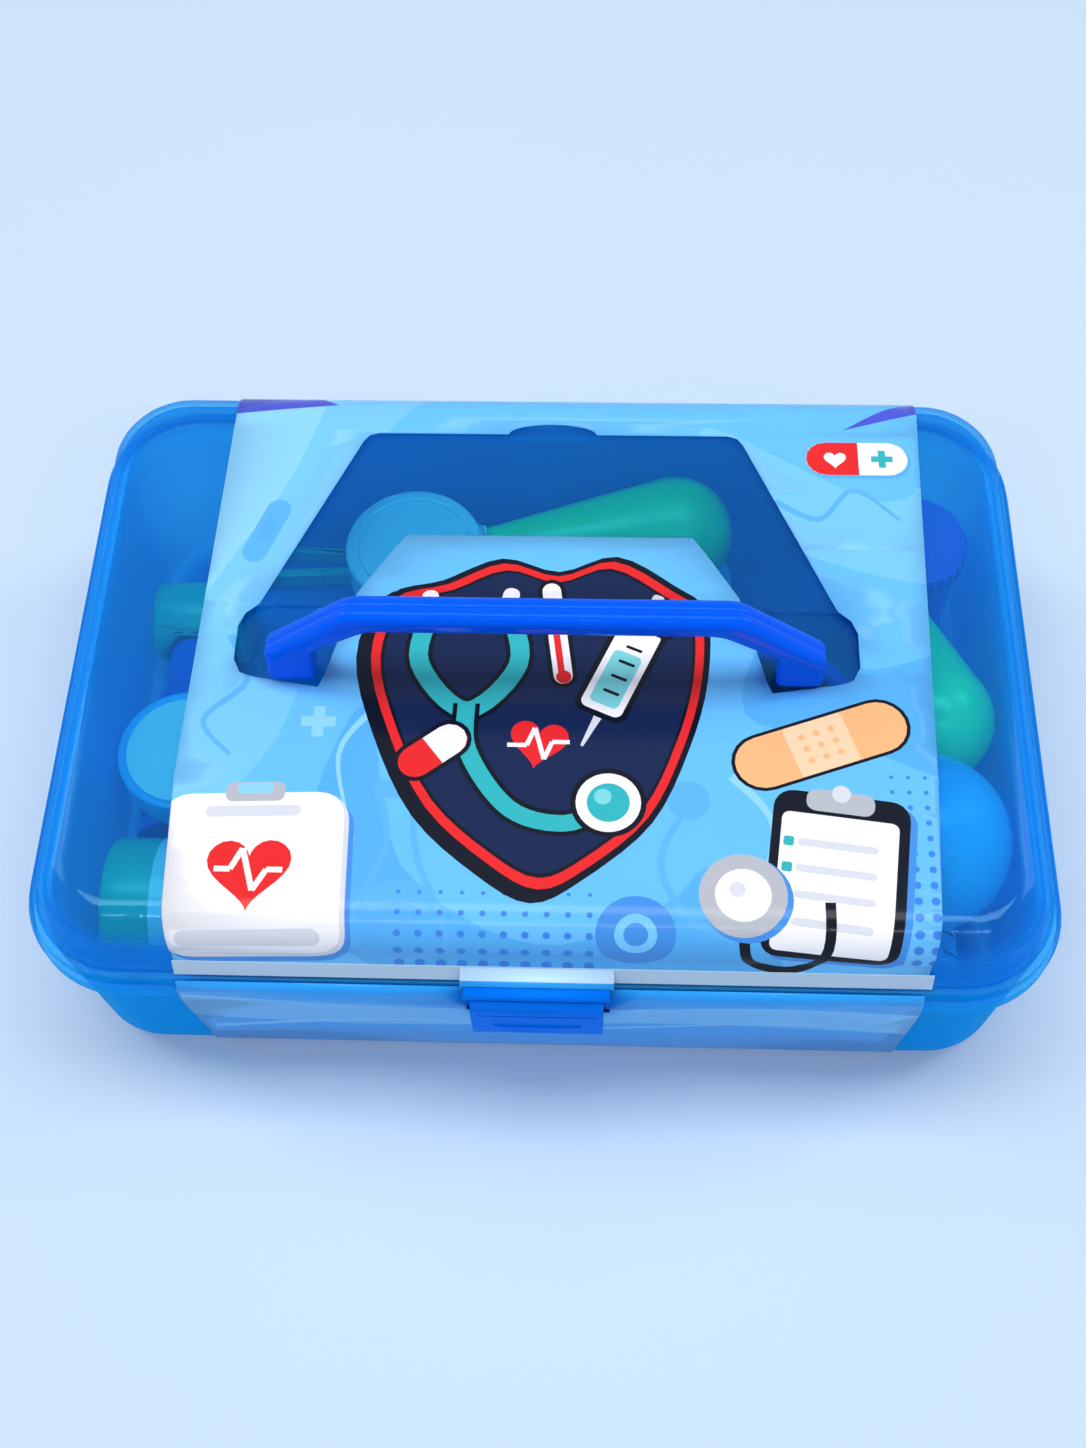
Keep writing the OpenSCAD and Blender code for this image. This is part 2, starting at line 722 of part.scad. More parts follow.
module hammer_head() {
    head_len = 28;
    head_y = hammer_y + hammer_len + hammer_head_r - 2;
    color(toy_teal) difference() {
        translate([hammer_x, head_y, toy_z + hammer_head_r]) on_x(head_len, hammer_head_r);
        translate([hammer_x, 0, hammer_z]) along_y(hammer_y, head_y - hammer_y, hammer_r - 1.6);
    }
}

// stethoscope: its chest piece lies on the hammer's grip, its ear tubes reach to the right
chest_x = hammer_x + 5;
chest_y = -12;
chest_t = 12;
chest_z = hammer_z + hammer_r + seat_gap;
tube_z = chest_z + chest_t / 2;
fork_x = chest_x + chest_r + 55;       // where the tube forks

// The ear tubes' routes from the fork, as [x, y] offsets. Their tips lie round the gauge, so
// their far points are set from its distance to the fork.
gauge_x = syringe_x - syringe_r - gauge_r - seat_gap;
reach = gauge_x - fork_x;
back_ear = [[0, 0], [30, 22], [reach - 32.7, 37], [reach + 1.3, 38], [reach + 18.3, 24]];
front_ear = [[0, 0], [30, -22], [reach - 36.7, -33], [reach - 16.7, -33], [reach - 5.7, -21]];

// Turn the Z axis level, to point the way that [x, y] goes.
module along(way) {
    rotate([0, 90, atan2(way[1], way[0])]) children();
}

// A tube along the points, open at both ends, with a moulded knuckle at each bend.
// The knuckle's poles lie along the tube, which keeps its STEP faces simple.
module tube_run(points, r) {
    knuckle = 0.8;
    for (i = [0:len(points) - 2]) {
        step = points[i + 1] - points[i];
        translate([points[i][0], points[i][1], 0]) {
            if (i > 0) along(unit(step) + unit(points[i] - points[i - 1])) sphere(r + knuckle);
            along(step) cylinder(h = norm(step), r = r);
        }
    }
}

module steth_yoke() {
    hub = 3.2;                         // covers where the three tubes cross
    color(solid_blue) translate([fork_x, chest_y, tube_z]) {
        tube_run([[chest_x + chest_r - fork_x, 0], [0, 0]], tube_r);
        along([1, 0]) sphere(tube_r + hub);
        tube_run(back_ear, tube_r);
        tube_run(front_ear, tube_r);
    }
}

module steth_ear_tips() {
    tip_r = 4.6;
    socket = 3;
    color(toy_white) translate([fork_x, chest_y, tube_z]) for (route = [back_ear, front_ear]) {
        last = route[len(route) - 1];
        way = last - route[len(route) - 2];
        translate([last[0], last[1], 0]) along(way) difference() {
            sphere(tip_r);
            translate([0, 0, -2 * socket]) cylinder(h = 2 * socket, r = tube_r);
        }
    }
}

module steth_chest_piece() {
    color(toy_sky) translate([chest_x, chest_y, chest_z]) difference() {
        cylinder(h = chest_t, r = chest_r);
        translate([0, 0, chest_t - 1.5]) cylinder(h = 2, r = chest_r - 2.5);
    }
}

module steth_diaphragm() {
    color(toy_white) translate([chest_x, chest_y, chest_z + chest_t - 1.5])
        cylinder(h = 1.2, r = chest_r - 2.5);
}

// pressure gauge, face up on the floor at the right
gauge_y = 12;
gauge_h = 23;
gauge_face = 1.6;

module gauge_case() {
    color(toy_green) translate([gauge_x, gauge_y, toy_z]) difference() {
        union() {
            cylinder(h = gauge_h, r = gauge_r - 1.5);
            translate([0, 0, gauge_h - 8]) cylinder(h = 6, r = gauge_r);
        }
        translate([0, 0, gauge_h - gauge_face]) cylinder(h = gauge_face + 1, r = gauge_r - 3.5);
    }
}

module gauge_dial() {
    color(toy_white) translate([gauge_x, gauge_y, toy_z + gauge_h - gauge_face])
        cylinder(h = 0.6, r = gauge_r - 3.5);
}

module gauge_needle() {
    color(toy_red) translate([gauge_x, gauge_y, toy_z + gauge_h - gauge_face + 0.6]) {
        cylinder(h = 0.9, r = 2.4);
        rotate([0, 0, 130]) translate([0, -0.7, 0]) cube([gauge_r - 6, 1.4, 0.7]);
    }
}

// pill bottle, lying along the left front
pill_len = 52;
pill_x = 5 - inner_x;                  // the end at the left wall
pill_y = 30 - inner_y;
pill_cap_len = 12;

module pill_bottle() {
    neck = 8;
    color(toy_teal) translate([pill_x + pill_len / 2, pill_y, toy_z + pill_r]) {
        on_x(pill_len, pill_r);
        translate([(pill_len + neck) / 2 - eps, 0, 0]) on_x(neck, pill_r - 6);
    }
}

module pill_cap() {
    color(toy_white) translate([pill_x + pill_len + pill_cap_len / 2, pill_y, toy_z + pill_r]) difference() {
        on_x(pill_cap_len, pill_r - 3);
        translate([-3, 0, 0]) on_x(pill_cap_len, pill_r - 6);
    }
}

// thermometer, lying along the front wall
thermometer_len = 96;
thermometer_y = 14 - inner_y;

module thermometer() {
    color(toy_white) translate([0, thermometer_y, toy_z]) {
        difference() {
            plate(thermometer_len, 16, 7.9, 7);
            translate([8, 0, 6]) plate(46, 6, 2.9, 2);
        }
        translate([-thermometer_len / 2 - 6, 0, 3.5]) on_x(16, 3.2);
    }
}

module thermometer_scale() {
    color(toy_red) translate([8, thermometer_y, toy_z + 6]) plate(46, 6, 2.9, 0.6);
}

// tweezers, lying along the back wall
tweezers_x = -58;
tweezers_y = inner_y - 11;

module tweezers() {
    arm = 74;
    spread = 3;
    color(toy_teal) translate([tweezers_x, tweezers_y, toy_z]) {
        for (side = [-1, 1]) rotate([0, 0, -side * spread])
            translate([-arm / 2, side * 3.4 - 1.4, 0]) cube([arm, 2.8, 6]);
        translate([arm / 2 - 3, -3.6, 0]) cube([6, 7.2, 6]);
    }
}

// ---------- assembly ----------

tray();
lid();
hinge_pins();
handle();
latch();
latch_pin();
sleeve_upper();
sleeve_lower();
seam_tape();
otoscope_handle();
otoscope_head();
otoscope_lens();
otoscope_cone();
pump_bulb();
pump_valve();
bulb_aspirator();
syringe_barrel();
syringe_plunger();
syringe_seal();
syringe_cap();
pill_bottle();
pill_cap();
medicine_bottle();
medicine_cap();
salve_jar();
salve_lid();
hammer_grip();
hammer_head();
gauge_case();
gauge_dial();
gauge_needle();
steth_yoke();
steth_ear_tips();
steth_chest_piece();
steth_diaphragm();
thermometer();
thermometer_scale();
tweezers();
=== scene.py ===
# %% [markdown]
# # A toy doctor case in Blender
# The object is a low box of blue moulded plastic: a tray, a clear hinged lid with a
# swing handle, a front latch, and a loop of printed film that holds it shut. Toy
# instruments show through the lid. The CAD frame brings every part in its real place
# and size, so this script gives it the soft edges, the print and the finishes that
# the CAD leaves out. Lengths are written in millimetres and turned to metres once.

# %% The frame
from math import atan2, cos, hypot, pi, radians, sin, tan

import bmesh
import bpy
from mathutils import Matrix, Vector, geometry


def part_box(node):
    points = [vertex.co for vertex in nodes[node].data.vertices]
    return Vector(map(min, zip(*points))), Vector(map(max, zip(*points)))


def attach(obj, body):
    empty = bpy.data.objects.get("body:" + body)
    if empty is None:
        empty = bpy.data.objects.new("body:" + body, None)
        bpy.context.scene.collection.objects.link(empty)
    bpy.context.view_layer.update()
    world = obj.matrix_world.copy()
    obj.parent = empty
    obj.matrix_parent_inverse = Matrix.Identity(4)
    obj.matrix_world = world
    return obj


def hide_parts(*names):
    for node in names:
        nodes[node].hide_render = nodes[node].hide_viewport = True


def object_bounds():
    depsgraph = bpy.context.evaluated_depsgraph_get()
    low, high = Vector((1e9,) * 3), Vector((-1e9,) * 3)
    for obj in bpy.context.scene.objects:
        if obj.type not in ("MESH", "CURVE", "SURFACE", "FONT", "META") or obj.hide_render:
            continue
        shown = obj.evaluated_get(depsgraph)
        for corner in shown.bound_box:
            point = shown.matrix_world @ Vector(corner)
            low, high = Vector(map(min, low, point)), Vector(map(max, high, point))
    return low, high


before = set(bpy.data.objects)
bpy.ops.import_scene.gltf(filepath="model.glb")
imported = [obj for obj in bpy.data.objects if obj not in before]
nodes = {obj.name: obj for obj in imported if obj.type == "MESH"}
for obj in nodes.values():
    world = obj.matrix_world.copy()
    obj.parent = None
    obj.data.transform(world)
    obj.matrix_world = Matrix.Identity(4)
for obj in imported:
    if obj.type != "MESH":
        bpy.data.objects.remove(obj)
cad_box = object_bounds()
MM = 0.001


def box_mm(node):
    """A CAD node's lowest and highest corners, in millimetres."""
    return tuple(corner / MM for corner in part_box(node))


def put(name, data):
    """Make an object of data and link it to the scene."""
    made = bpy.data.objects.new(name, data)
    bpy.context.scene.collection.objects.link(made)
    return made


case_low, case_high = (corner / MM for corner in cad_box)
print("nodes:", len(nodes), "size in mm:", [round(x, 1) for x in case_high - case_low])

# %% [markdown]
# ## The camera
# The photograph looks down on the case from the front, a little right of its middle.
# Its place and tilt came from fitting one camera to the outlines of the case. Blender
# fits a 36 mm sensor to the picture's long side, so the lens follows from the focal
# length in pixels and the picture's height.

# %% Camera
PHOTO_HEIGHT, FOCAL_PX = 1448, 1672.4  # pixels
SENSOR, CAMERA_AT = 36, (13.83, -235.24, 455.23)    # mm
YAW, PITCH, ROLL = -0.066, 1.061, -0.042       # radians


def camera_axes(yaw, pitch, roll):
    """The camera's right, up and forward directions."""
    forward = Vector((sin(yaw) * cos(pitch), cos(yaw) * cos(pitch), -sin(pitch)))
    level = Vector((cos(yaw), -sin(yaw), 0))
    above = level.cross(forward)
    right = cos(roll) * level + sin(roll) * above
    up = -sin(roll) * level + cos(roll) * above
    return right, up, forward


right, up, forward = camera_axes(YAW, PITCH, ROLL)
camera = put("photo_camera", bpy.data.cameras.new("photo_camera"))
camera.data.sensor_width = SENSOR
camera.data.lens = FOCAL_PX / PHOTO_HEIGHT * SENSOR
turned = Matrix((right, up, -forward)).transposed().to_4x4()
camera.matrix_world = Matrix.Translation(Vector(CAMERA_AT) * MM) @ turned
bpy.context.scene.camera = camera
print("lens in mm:", round(camera.data.lens, 2))

# %% [markdown]
# ## Colour and nodes
# Colours are written as the sRGB hex codes that a colour picker shows, and Blender's
# shaders want linear light, so one function turns each code. One more function adds a
# node with its settings and its links, which keeps a material's recipe short.

# %% Helpers for materials
def linear(code):
    """'#rrggbb' in sRGB as linear red, green, blue and an alpha of 1."""
    parts = [int(code[i : i + 2], 16) / 255 for i in (1, 3, 5)]
    return [p / 12.92 if p <= 0.04045 else ((p + 0.055) / 1.055) ** 2.4 for p in parts] + [1.0]


def add(tree, kind, inputs=None, **settings):
    """Add a node. An input is a plain value, or another node's socket to link."""
    node = tree.nodes.new(kind)
    for name, value in settings.items():
        setattr(node, name, value)
    for name, value in (inputs or {}).items():
        if isinstance(value, bpy.types.NodeSocket):
            tree.links.new(value, node.inputs[name])
        else:
            node.inputs[name].default_value = value
    return node


def noise(tree, size_mm, detail, distortion=0.0):
    """Noise in the piece's own space, with features about size_mm across."""
    place = add(tree, "ShaderNodeTexCoord").outputs["Object"]
    return add(tree, "ShaderNodeTexNoise", {
        "Vector": place, "Scale": 1 / (size_mm * MM), "Detail": detail, "Distortion": distortion}).outputs["Fac"]


def blank(name):
    """A new material and its empty node tree."""
    material = bpy.data.materials.new(name)
    material.use_nodes = True
    material.node_tree.nodes.clear()
    return material, material.node_tree


# %% [markdown]
# ## Moulded plastic
# Toy plastic is injection-moulded polypropylene or polystyrene. Its colour is mixed in,
# so it is even, with faint clouds where the melt flowed. The mould gives it a gloss
# with a soft ripple, called orange peel, and handling dulls it in patches. All of this
# is one recipe, so it is one function, and each plastic is a line of numbers.

# %% The recipe for moulded plastic
BUMP_STRENGTH = 0.35
SHEER_AT_EDGE = 0.3  # how much of the see-through is left where the wall is seen edge-on


def clouded(tree, colour, deep, cloud):
    """A colour that drifts from colour to deep, both linear, as cloud goes from 0 to 1."""
    shade = add(tree, "ShaderNodeMix", data_type="RGBA")
    shade.inputs[6].default_value, shade.inputs[7].default_value = colour, deep
    tree.links.new(cloud, shade.inputs[0])
    return shade.outputs[2]


def moulded(name, colour, deep, rough=0.2, ior=1.49, peel_mm=2.5, peel_depth=0.012, cloud_mm=45,
            sheer=0.0, tint="#ffffff", glance=0.5, shine=0.5):
    """Plastic that clouds from colour to deep, with orange peel of peel_mm across and peel_depth mm deep.

    sheer is how much of it is see-through, tint the colour of the light that passes and of
    the gloss, shine the gloss face-on (0.5 is all that the IOR gives) and glance at the edge.
    """
    material, tree = blank(name)
    cloud, peel = noise(tree, cloud_mm, 2.0), noise(tree, peel_mm, 1.0)
    dulled = add(tree, "ShaderNodeMapRange", {
        "Value": cloud, "From Min": 0.3, "From Max": 0.7, "To Min": rough * 0.8, "To Max": rough * 1.3}).outputs[0]
    ripple = add(tree, "ShaderNodeBump", {
        "Height": peel, "Strength": BUMP_STRENGTH, "Distance": peel_depth * MM}).outputs[0]
    shader = add(tree, "ShaderNodeBsdfPrincipled", {
        "Base Color": clouded(tree, linear(colour), linear(deep), cloud), "Roughness": dulled, "Normal": ripple,
        "IOR": ior, "Specular IOR Level": 0.0 if sheer else shine, "Specular Tint": linear(tint)}).outputs[0]
    if sheer:
        # The dye and the light that passes, and over both the gloss, which grows to the edge by Schlick's rule.
        face_on = 2 * shine * ((ior - 1) / (ior + 1)) ** 2
        clear = add(tree, "ShaderNodeBsdfTransparent", {"Color": linear(tint)}).outputs[0]
        tilt = add(tree, "ShaderNodeLayerWeight", {"Blend": 0.5, "Normal": ripple}).outputs["Facing"]
        passed = add(tree, "ShaderNodeMapRange", {
            "Value": tilt, "From Min": 0.15, "To Min": sheer, "To Max": sheer * SHEER_AT_EDGE}).outputs[0]
        dyed = add(tree, "ShaderNodeMixShader", {0: passed, 1: shader, 2: clear}).outputs[0]
        grazing = add(tree, "ShaderNodeMath", {0: tilt, 1: 5.0}, operation="POWER").outputs[0]
        mirror = add(tree, "ShaderNodeMapRange", {"Value": grazing, "To Min": face_on, "To Max": glance}).outputs[0]
        gloss = add(tree, "ShaderNodeBsdfGlossy", {
            "Color": linear(tint), "Roughness": dulled, "Normal": ripple}).outputs[0]
        shader = add(tree, "ShaderNodeMixShader", {0: mirror, 1: dyed, 2: gloss}).outputs[0]
    add(tree, "ShaderNodeOutputMaterial", {"Surface": shader})
    return material


# %% The case's plastics
# Clear polystyrene, tinted blue: hard and glossy, with an IOR of 1.59.
lid_plastic = moulded("lid_clear_polystyrene", "#0896ff", "#0488fa", rough=0.04, ior=1.59, peel_mm=9,
                      sheer=0.91, tint="#c4f8ff", glance=0.2, shine=0.14)
# Translucent polypropylene: softer gloss, and more dye than the lid.
tray_plastic = moulded("tray_translucent_polypropylene", "#08b0ff", "#06a2fc", rough=0.2, peel_mm=5,
                       sheer=0.75, tint="#acecff", glance=0.1, shine=0.2)
# Solid polypropylene of the handle and hinges, a deep ultramarine with a weak gloss.
trim_plastic = moulded("trim_glossy_polypropylene", "#005ef4", "#0052ea", rough=0.09, ior=1.3, peel_depth=0.004,
                       tint="#78b4ff", shine=0.4)
# The latch's mould is eroded to a fine matt, so that a finger doesn't slip.
latch_plastic = moulded("latch_matt_polypropylene", "#007cf6", "#006eee", rough=0.42, ior=1.3, peel_depth=0.004,
                        shine=0.06)
case_plastics = len(bpy.data.materials)
print("case plastics:", lid_plastic.name, tray_plastic.name, trim_plastic.name, latch_plastic.name)

# %% The toys' plastics
# Blow-moulded polyethylene bulbs and bottles are waxy, so they are duller than the case.
toy_green = moulded("green_blown_polyethylene", "#24d65c", "#1ac24e", rough=0.28)
toy_mint = moulded("mint_blown_polyethylene", "#5cf59c", "#4ae68c", rough=0.26)
toy_teal = moulded("teal_moulded_polypropylene", "#34c8ac", "#28b49c", rough=0.25)
toy_sky = moulded("sky_blue_blown_polyethylene", "#5cc0fa", "#48aef2", rough=0.28)
toy_purple = moulded("purple_moulded_polypropylene", "#7a55e0", "#6444cc", rough=0.25)
toy_navy = moulded("navy_moulded_polypropylene", "#2456d8", "#1b46c0", rough=0.3)
toy_red = moulded("red_moulded_polypropylene", "#e8302c", "#d02220", rough=0.22)
toy_white = moulded("white_moulded_polypropylene", "#f2f4f8", "#e4e9f0", rough=0.24)
# Clear polystyrene of the otoscope's head and lens, with hardly any dye.
toy_clear = moulded("clear_moulded_polystyrene", "#d4e4f0", "#c2d6e8", rough=0.08, ior=1.59,
                    sheer=0.22, tint="#e6f0fa")
# Black ink of a pad-printed scale, which has little gloss.
mark_ink = moulded("black_pad_print", "#1a1d26", "#232733", rough=0.55, peel_depth=0.002)
print("toy plastics and ink:", len(bpy.data.materials) - case_plastics)

# %% [markdown]
# ## Soft edges on the CAD parts
# A mould leaves every edge a little round, and that round edge is what catches the
# light. The CAD parts have sharp edges. A stack of modifiers rounds them and leaves the
# CAD mesh as it is: weld the corners, merge flat triangles into whole faces, bevel what
# is still sharp, and weight the shading to the big faces.

# %% Round the edges and give the finishes
CORNER_GAP = 0.002  # mm: corners that are this close are one corner
FLAT, SHARP, CRISP = 0.5, 32, 40  # degrees between faces: flat below the first, an edge above the others
BIG_FACES_LEAD = 80


def finish_with(piece, finish):
    """Make finish the only material of a piece."""
    piece.data.materials.clear()
    piece.data.materials.append(finish)


def weld_corners(piece):
    """A CAD mesh has corners of its own for each face, and this joins them."""
    piece.modifiers.new("weld", "WELD").merge_threshold = CORNER_GAP * MM


def soften(node, finish, edge_mm):
    """Give a CAD node its finish and round its edges to edge_mm."""
    piece = nodes[node]
    finish_with(piece, finish)
    weld_corners(piece)
    flat = piece.modifiers.new("flat faces", "DECIMATE")
    flat.decimate_type, flat.angle_limit = "DISSOLVE", radians(FLAT)
    edge = piece.modifiers.new("moulded edge", "BEVEL")
    edge.width, edge.segments, edge.angle_limit = edge_mm * MM, 2, radians(SHARP)
    edge.use_clamp_overlap = False
    shade = piece.modifiers.new("shading", "WEIGHTED_NORMAL")
    shade.keep_sharp, shade.weight = False, BIG_FACES_LEAD


case_parts = {
    "tray": (tray_plastic, 0.35), "lid": (lid_plastic, 0.3), "latch_pin": (trim_plastic, 0.15),
    "hinge_pins": (trim_plastic, 0.2)}
toy_parts = {
    "otoscope_handle": (toy_green, 0.5), "otoscope_head": (toy_clear, 1.2), "otoscope_lens": (toy_clear, 0.3),
    "otoscope_cone": (toy_teal, 0.6), "pump_bulb": (toy_sky, 0.5), "pump_valve": (toy_white, 0.3),
    "bulb_aspirator": (toy_mint, 0.3), "syringe_barrel": (toy_sky, 0.4), "syringe_plunger": (toy_white, 0.3),
    "syringe_seal": (toy_navy, 0.6), "syringe_cap": (toy_red, 0.6), "pill_bottle": (toy_teal, 1.6),
    "pill_cap": (toy_white, 0.6), "medicine_bottle": (toy_sky, 1.4), "medicine_cap": (toy_white, 0.6),
    "salve_jar": (toy_purple, 1.2), "salve_lid": (toy_purple, 0.8), "hammer_grip": (toy_navy, 0.7),
    "hammer_head": (toy_teal, 2.0), "gauge_case": (toy_green, 1.0), "gauge_needle": (toy_red, 0.1),
    "steth_ear_tips": (toy_white, 0.3), "steth_chest_piece": (toy_sky, 1.0), "steth_diaphragm": (toy_white, 0.3),
    "thermometer": (toy_white, 1.4), "thermometer_scale": (toy_red, 0.15), "tweezers": (toy_teal, 0.6)}
for node, (finish, edge_mm) in {**case_parts, **toy_parts}.items():
    soften(node, finish, edge_mm)
print("softened:", len(case_parts) + len(toy_parts))

# %% [markdown]
# ## The handle
# The grip is one solid moulding: a bar with two sloping arms, and a foot at each end
# that is slotted over a lug on the lid. Hands meet it first, so its edges are rounder
# than the rest, and a shallow groove runs round it where the mould's halves met. A
# bevel that wide breaks the CAD mesh, so the handle is drawn again from its outline, in
# layers from front to back, and the first and last layers draw in to round the edge.

# %% An outline with round corners
CORNER_STEPS = 6


def rounded(corners):
    """Corners (x, y, radius) as points, with each corner turned into an arc."""
    points = []
    for i, (x, y, r) in enumerate(corners):
        here = Vector((x, y))
        a = (Vector(corners[i - 1][:2]) - here).normalized()
        b = (Vector(corners[(i + 1) % len(corners)][:2]) - here).normalized()
        half = a.angle(b) / 2
        centre = here + (a + b).normalized() * r / sin(half)
        start, end = (here + way * r / tan(half) - centre for way in (a, b))
        turn = atan2(start.x * end.y - start.y * end.x, start.dot(end))
        for k in range(CORNER_STEPS + 1):
            c, s = cos(turn * k / CORNER_STEPS), sin(turn * k / CORNER_STEPS)
            points.append((centre.x + c * start.x - s * start.y, centre.y + s * start.x + c * start.y))
    return points


# %% The handle's outline
handle_low, handle_high = box_mm("handle")
GRIP, GRIP_H, FOOT, BEND = 44, 7.5, 12, 10     # mm: half the grip, its height, a foot's width, a bend's radius
span, top, foot_z = handle_high.x, handle_high.z, handle_low.z
elbow = foot_z + 11
outer = [(span, foot_z, 2), (span, elbow, 3.5), (GRIP + 5, top, BEND)]
inner = [(GRIP, top - GRIP_H, BEND), (span - FOOT - 1, elbow + 1, 5), (span - FOOT, foot_z, 2)]
mirrored_outer, mirrored_inner = ([(-x, z, r) for x, z, r in side[::-1]] for side in (outer, inner))
bar = rounded(outer + mirrored_outer + mirrored_inner + inner)
outer_points = 2 * len(outer) * (CORNER_STEPS + 1)
print("handle corners:", len(bar))

# %% The handle's layers
thick = handle_high.y - handle_low.y
GROOVE, GROOVE_HALF = 0.25, 0.45  # mm: depth and half the width
EDGE, FOOT_EDGE, EDGE_STEPS = 2.8, 1.1, 6  # the feet's walls are thin, so their edges are rounded less
FOOT_PART = 3  # mm from the feet's ends over which the edge stays thin


def edge_radius(z):
    """How far the edge is rounded at height z: little at the feet, fully above the elbow."""
    share = (z - foot_z - FOOT_PART) / (elbow - foot_z - FOOT_PART)
    return FOOT_EDGE + (EDGE - FOOT_EDGE) * min(max(share, 0), 1)


# A layer is (share of the edge's inset, share of its depth, further depth, groove).
turns = [pi / 2 * i / EDGE_STEPS for i in range(EDGE_STEPS + 1)]
front_layers = [(1 - sin(a), 1 - cos(a), 0, 0) for a in turns]
groove_layers = [(0, 0, thick / 2 + off, GROOVE if off == 0 else 0) for off in (-GROOVE_HALF, 0, GROOVE_HALF)]
back_layers = [(inset, -deep, thick, 0) for inset, deep, _, _ in front_layers[::-1]]
print("handle layers:", len(front_layers) + len(groove_layers) + len(back_layers))

# %% Draw the handle
shell = bmesh.new()
rings = []
for inset, deep, depth, sunk in front_layers + groove_layers + back_layers:
    ring = []
    for i, (x, z) in enumerate(bar):
        way = Vector(bar[(i + 1) % len(bar)]) - Vector(bar[i - 1])
        radius = edge_radius(z)
        inward = Vector((-way.y, way.x)).normalized() * (inset * radius + (sunk if i < outer_points else 0))
        y = handle_low.y + depth + deep * radius
        ring.append(shell.verts.new(Vector((x + inward.x, y, z + inward.y)) * MM))
    rings.append(ring)
for near, far in zip(rings, rings[1:]):
    for i in range(len(bar)):
        k = (i + 1) % len(bar)
        shell.faces.new((near[i], near[k], far[k], far[i]))
for ring in (rings[0], rings[-1]):
    for i in range(outer_points - 1):
        shell.faces.new((ring[i], ring[i + 1], ring[-2 - i], ring[-1 - i]))
bmesh.ops.recalc_face_normals(shell, faces=shell.faces)
handle_mesh = bpy.data.meshes.new("grip_handle")
shell.to_mesh(handle_mesh)
handle_mesh.materials.append(trim_plastic)
handle = put("grip_handle", handle_mesh)
print("handle rings:", len(rings))

# %% [markdown]
# A boolean cuts slots and hollows. Its result is kept as the piece's mesh, so that the
# cutter can go again and the piece stands alone.

# %% Cut shapes out of a piece
def prism(mesh, outline, start, end):
    """Add an outline in X and Z to mesh as a prism along Y, from start to end in mm."""
    near, far = ([mesh.verts.new(Vector((x, y, z)) * MM) for x, z in outline] for y in (start, end))
    for i in range(len(outline)):
        k = (i + 1) % len(outline)
        mesh.faces.new((near[i], near[k], far[k], far[i]))
    mesh.faces.new(near[::-1])
    mesh.faces.new(far)


def carve(piece, cutter_mesh):
    """Cut cutter_mesh, a bmesh of prisms, out of a piece, and keep the result as its mesh."""
    bmesh.ops.recalc_face_normals(cutter_mesh, faces=cutter_mesh.faces)
    data = bpy.data.meshes.new("cutter")
    cutter_mesh.to_mesh(data)
    cutter = put("cutter", data)
    cut = piece.modifiers.new("cut", "BOOLEAN")
    cut.operation, cut.object = "DIFFERENCE", cutter
    bpy.context.view_layer.update()
    settled = bpy.data.meshes.new_from_object(piece.evaluated_get(bpy.context.evaluated_depsgraph_get()))
    for polygon in settled.polygons:
        polygon.use_smooth = True
    piece.modifiers.clear()
    piece.data = settled
    bpy.data.objects.remove(cutter)
    return settled


# %% Cut the handle's slots
SLOT, SLOT_TOP, SKIN, PAST = 6.6, 86.7, 1.5, 2     # mm: PAST is how far the cutter stands out of the piece
lug_x = span - FOOT / 2
slots = bmesh.new()
for side in (-1, 1):
    x0, x1 = side * lug_x - SLOT / 2, side * lug_x + SLOT / 2
    slot_outline = [(x0, foot_z - PAST), (x1, foot_z - PAST), (x1, SLOT_TOP), (x0, SLOT_TOP)]
    prism(slots, slot_outline, handle_low.y + SKIN, handle_high.y + PAST)
settled = carve(handle, slots)
settled.set_sharp_from_angle(angle=radians(CRISP))
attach(handle, "handle")
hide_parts("handle")
print("handle faces:", len(settled.polygons))

# %% [markdown]
# ## Printed film
# The sleeve is a loop of thin glossy film, printed on its inside. Its print is a set of
# flat colours with clean borders, so each colour is a material, and the sheet is cut
# along every border. The cut is made flat, by a constrained Delaunay triangulation,
# which keeps each outline as edges of the mesh. Only then is the sheet wrapped round
# the case. Film is never quite flat: it ripples over a few centimetres.

# %% The recipe for printed film
RIPPLE_MM, RIPPLE_DEPTH = 38, 0.5      # mm: how far apart the ripples are, and how deep
SHADED = 0.93  # how bright the ink is where it is darkest


def printed(name, colour, rough=0.16, sheer=0.0):
    """Glossy film over one flat colour of ink, with a slow ripple. sheer is how much of it is see-through."""
    material, tree = blank("film_ink_" + name)
    slow = noise(tree, RIPPLE_MM, 2.0, 0.6)
    ripple = add(tree, "ShaderNodeBump", {
        "Height": slow, "Strength": BUMP_STRENGTH, "Distance": RIPPLE_DEPTH * MM}).outputs[0]
    deep = [c * SHADED for c in linear(colour)[:3]] + [1]
    shader = add(tree, "ShaderNodeBsdfPrincipled", {
        "Base Color": clouded(tree, linear(colour), deep, slow), "Roughness": rough, "IOR": 1.4,
        "Specular IOR Level": 0.22, "Normal": ripple}).outputs[0]
    if sheer:
        clear = add(tree, "ShaderNodeBsdfTransparent").outputs[0]
        shader = add(tree, "ShaderNodeMixShader", {0: sheer, 1: shader, 2: clear}).outputs[0]
    add(tree, "ShaderNodeOutputMaterial", {"Surface": shader})
    return material


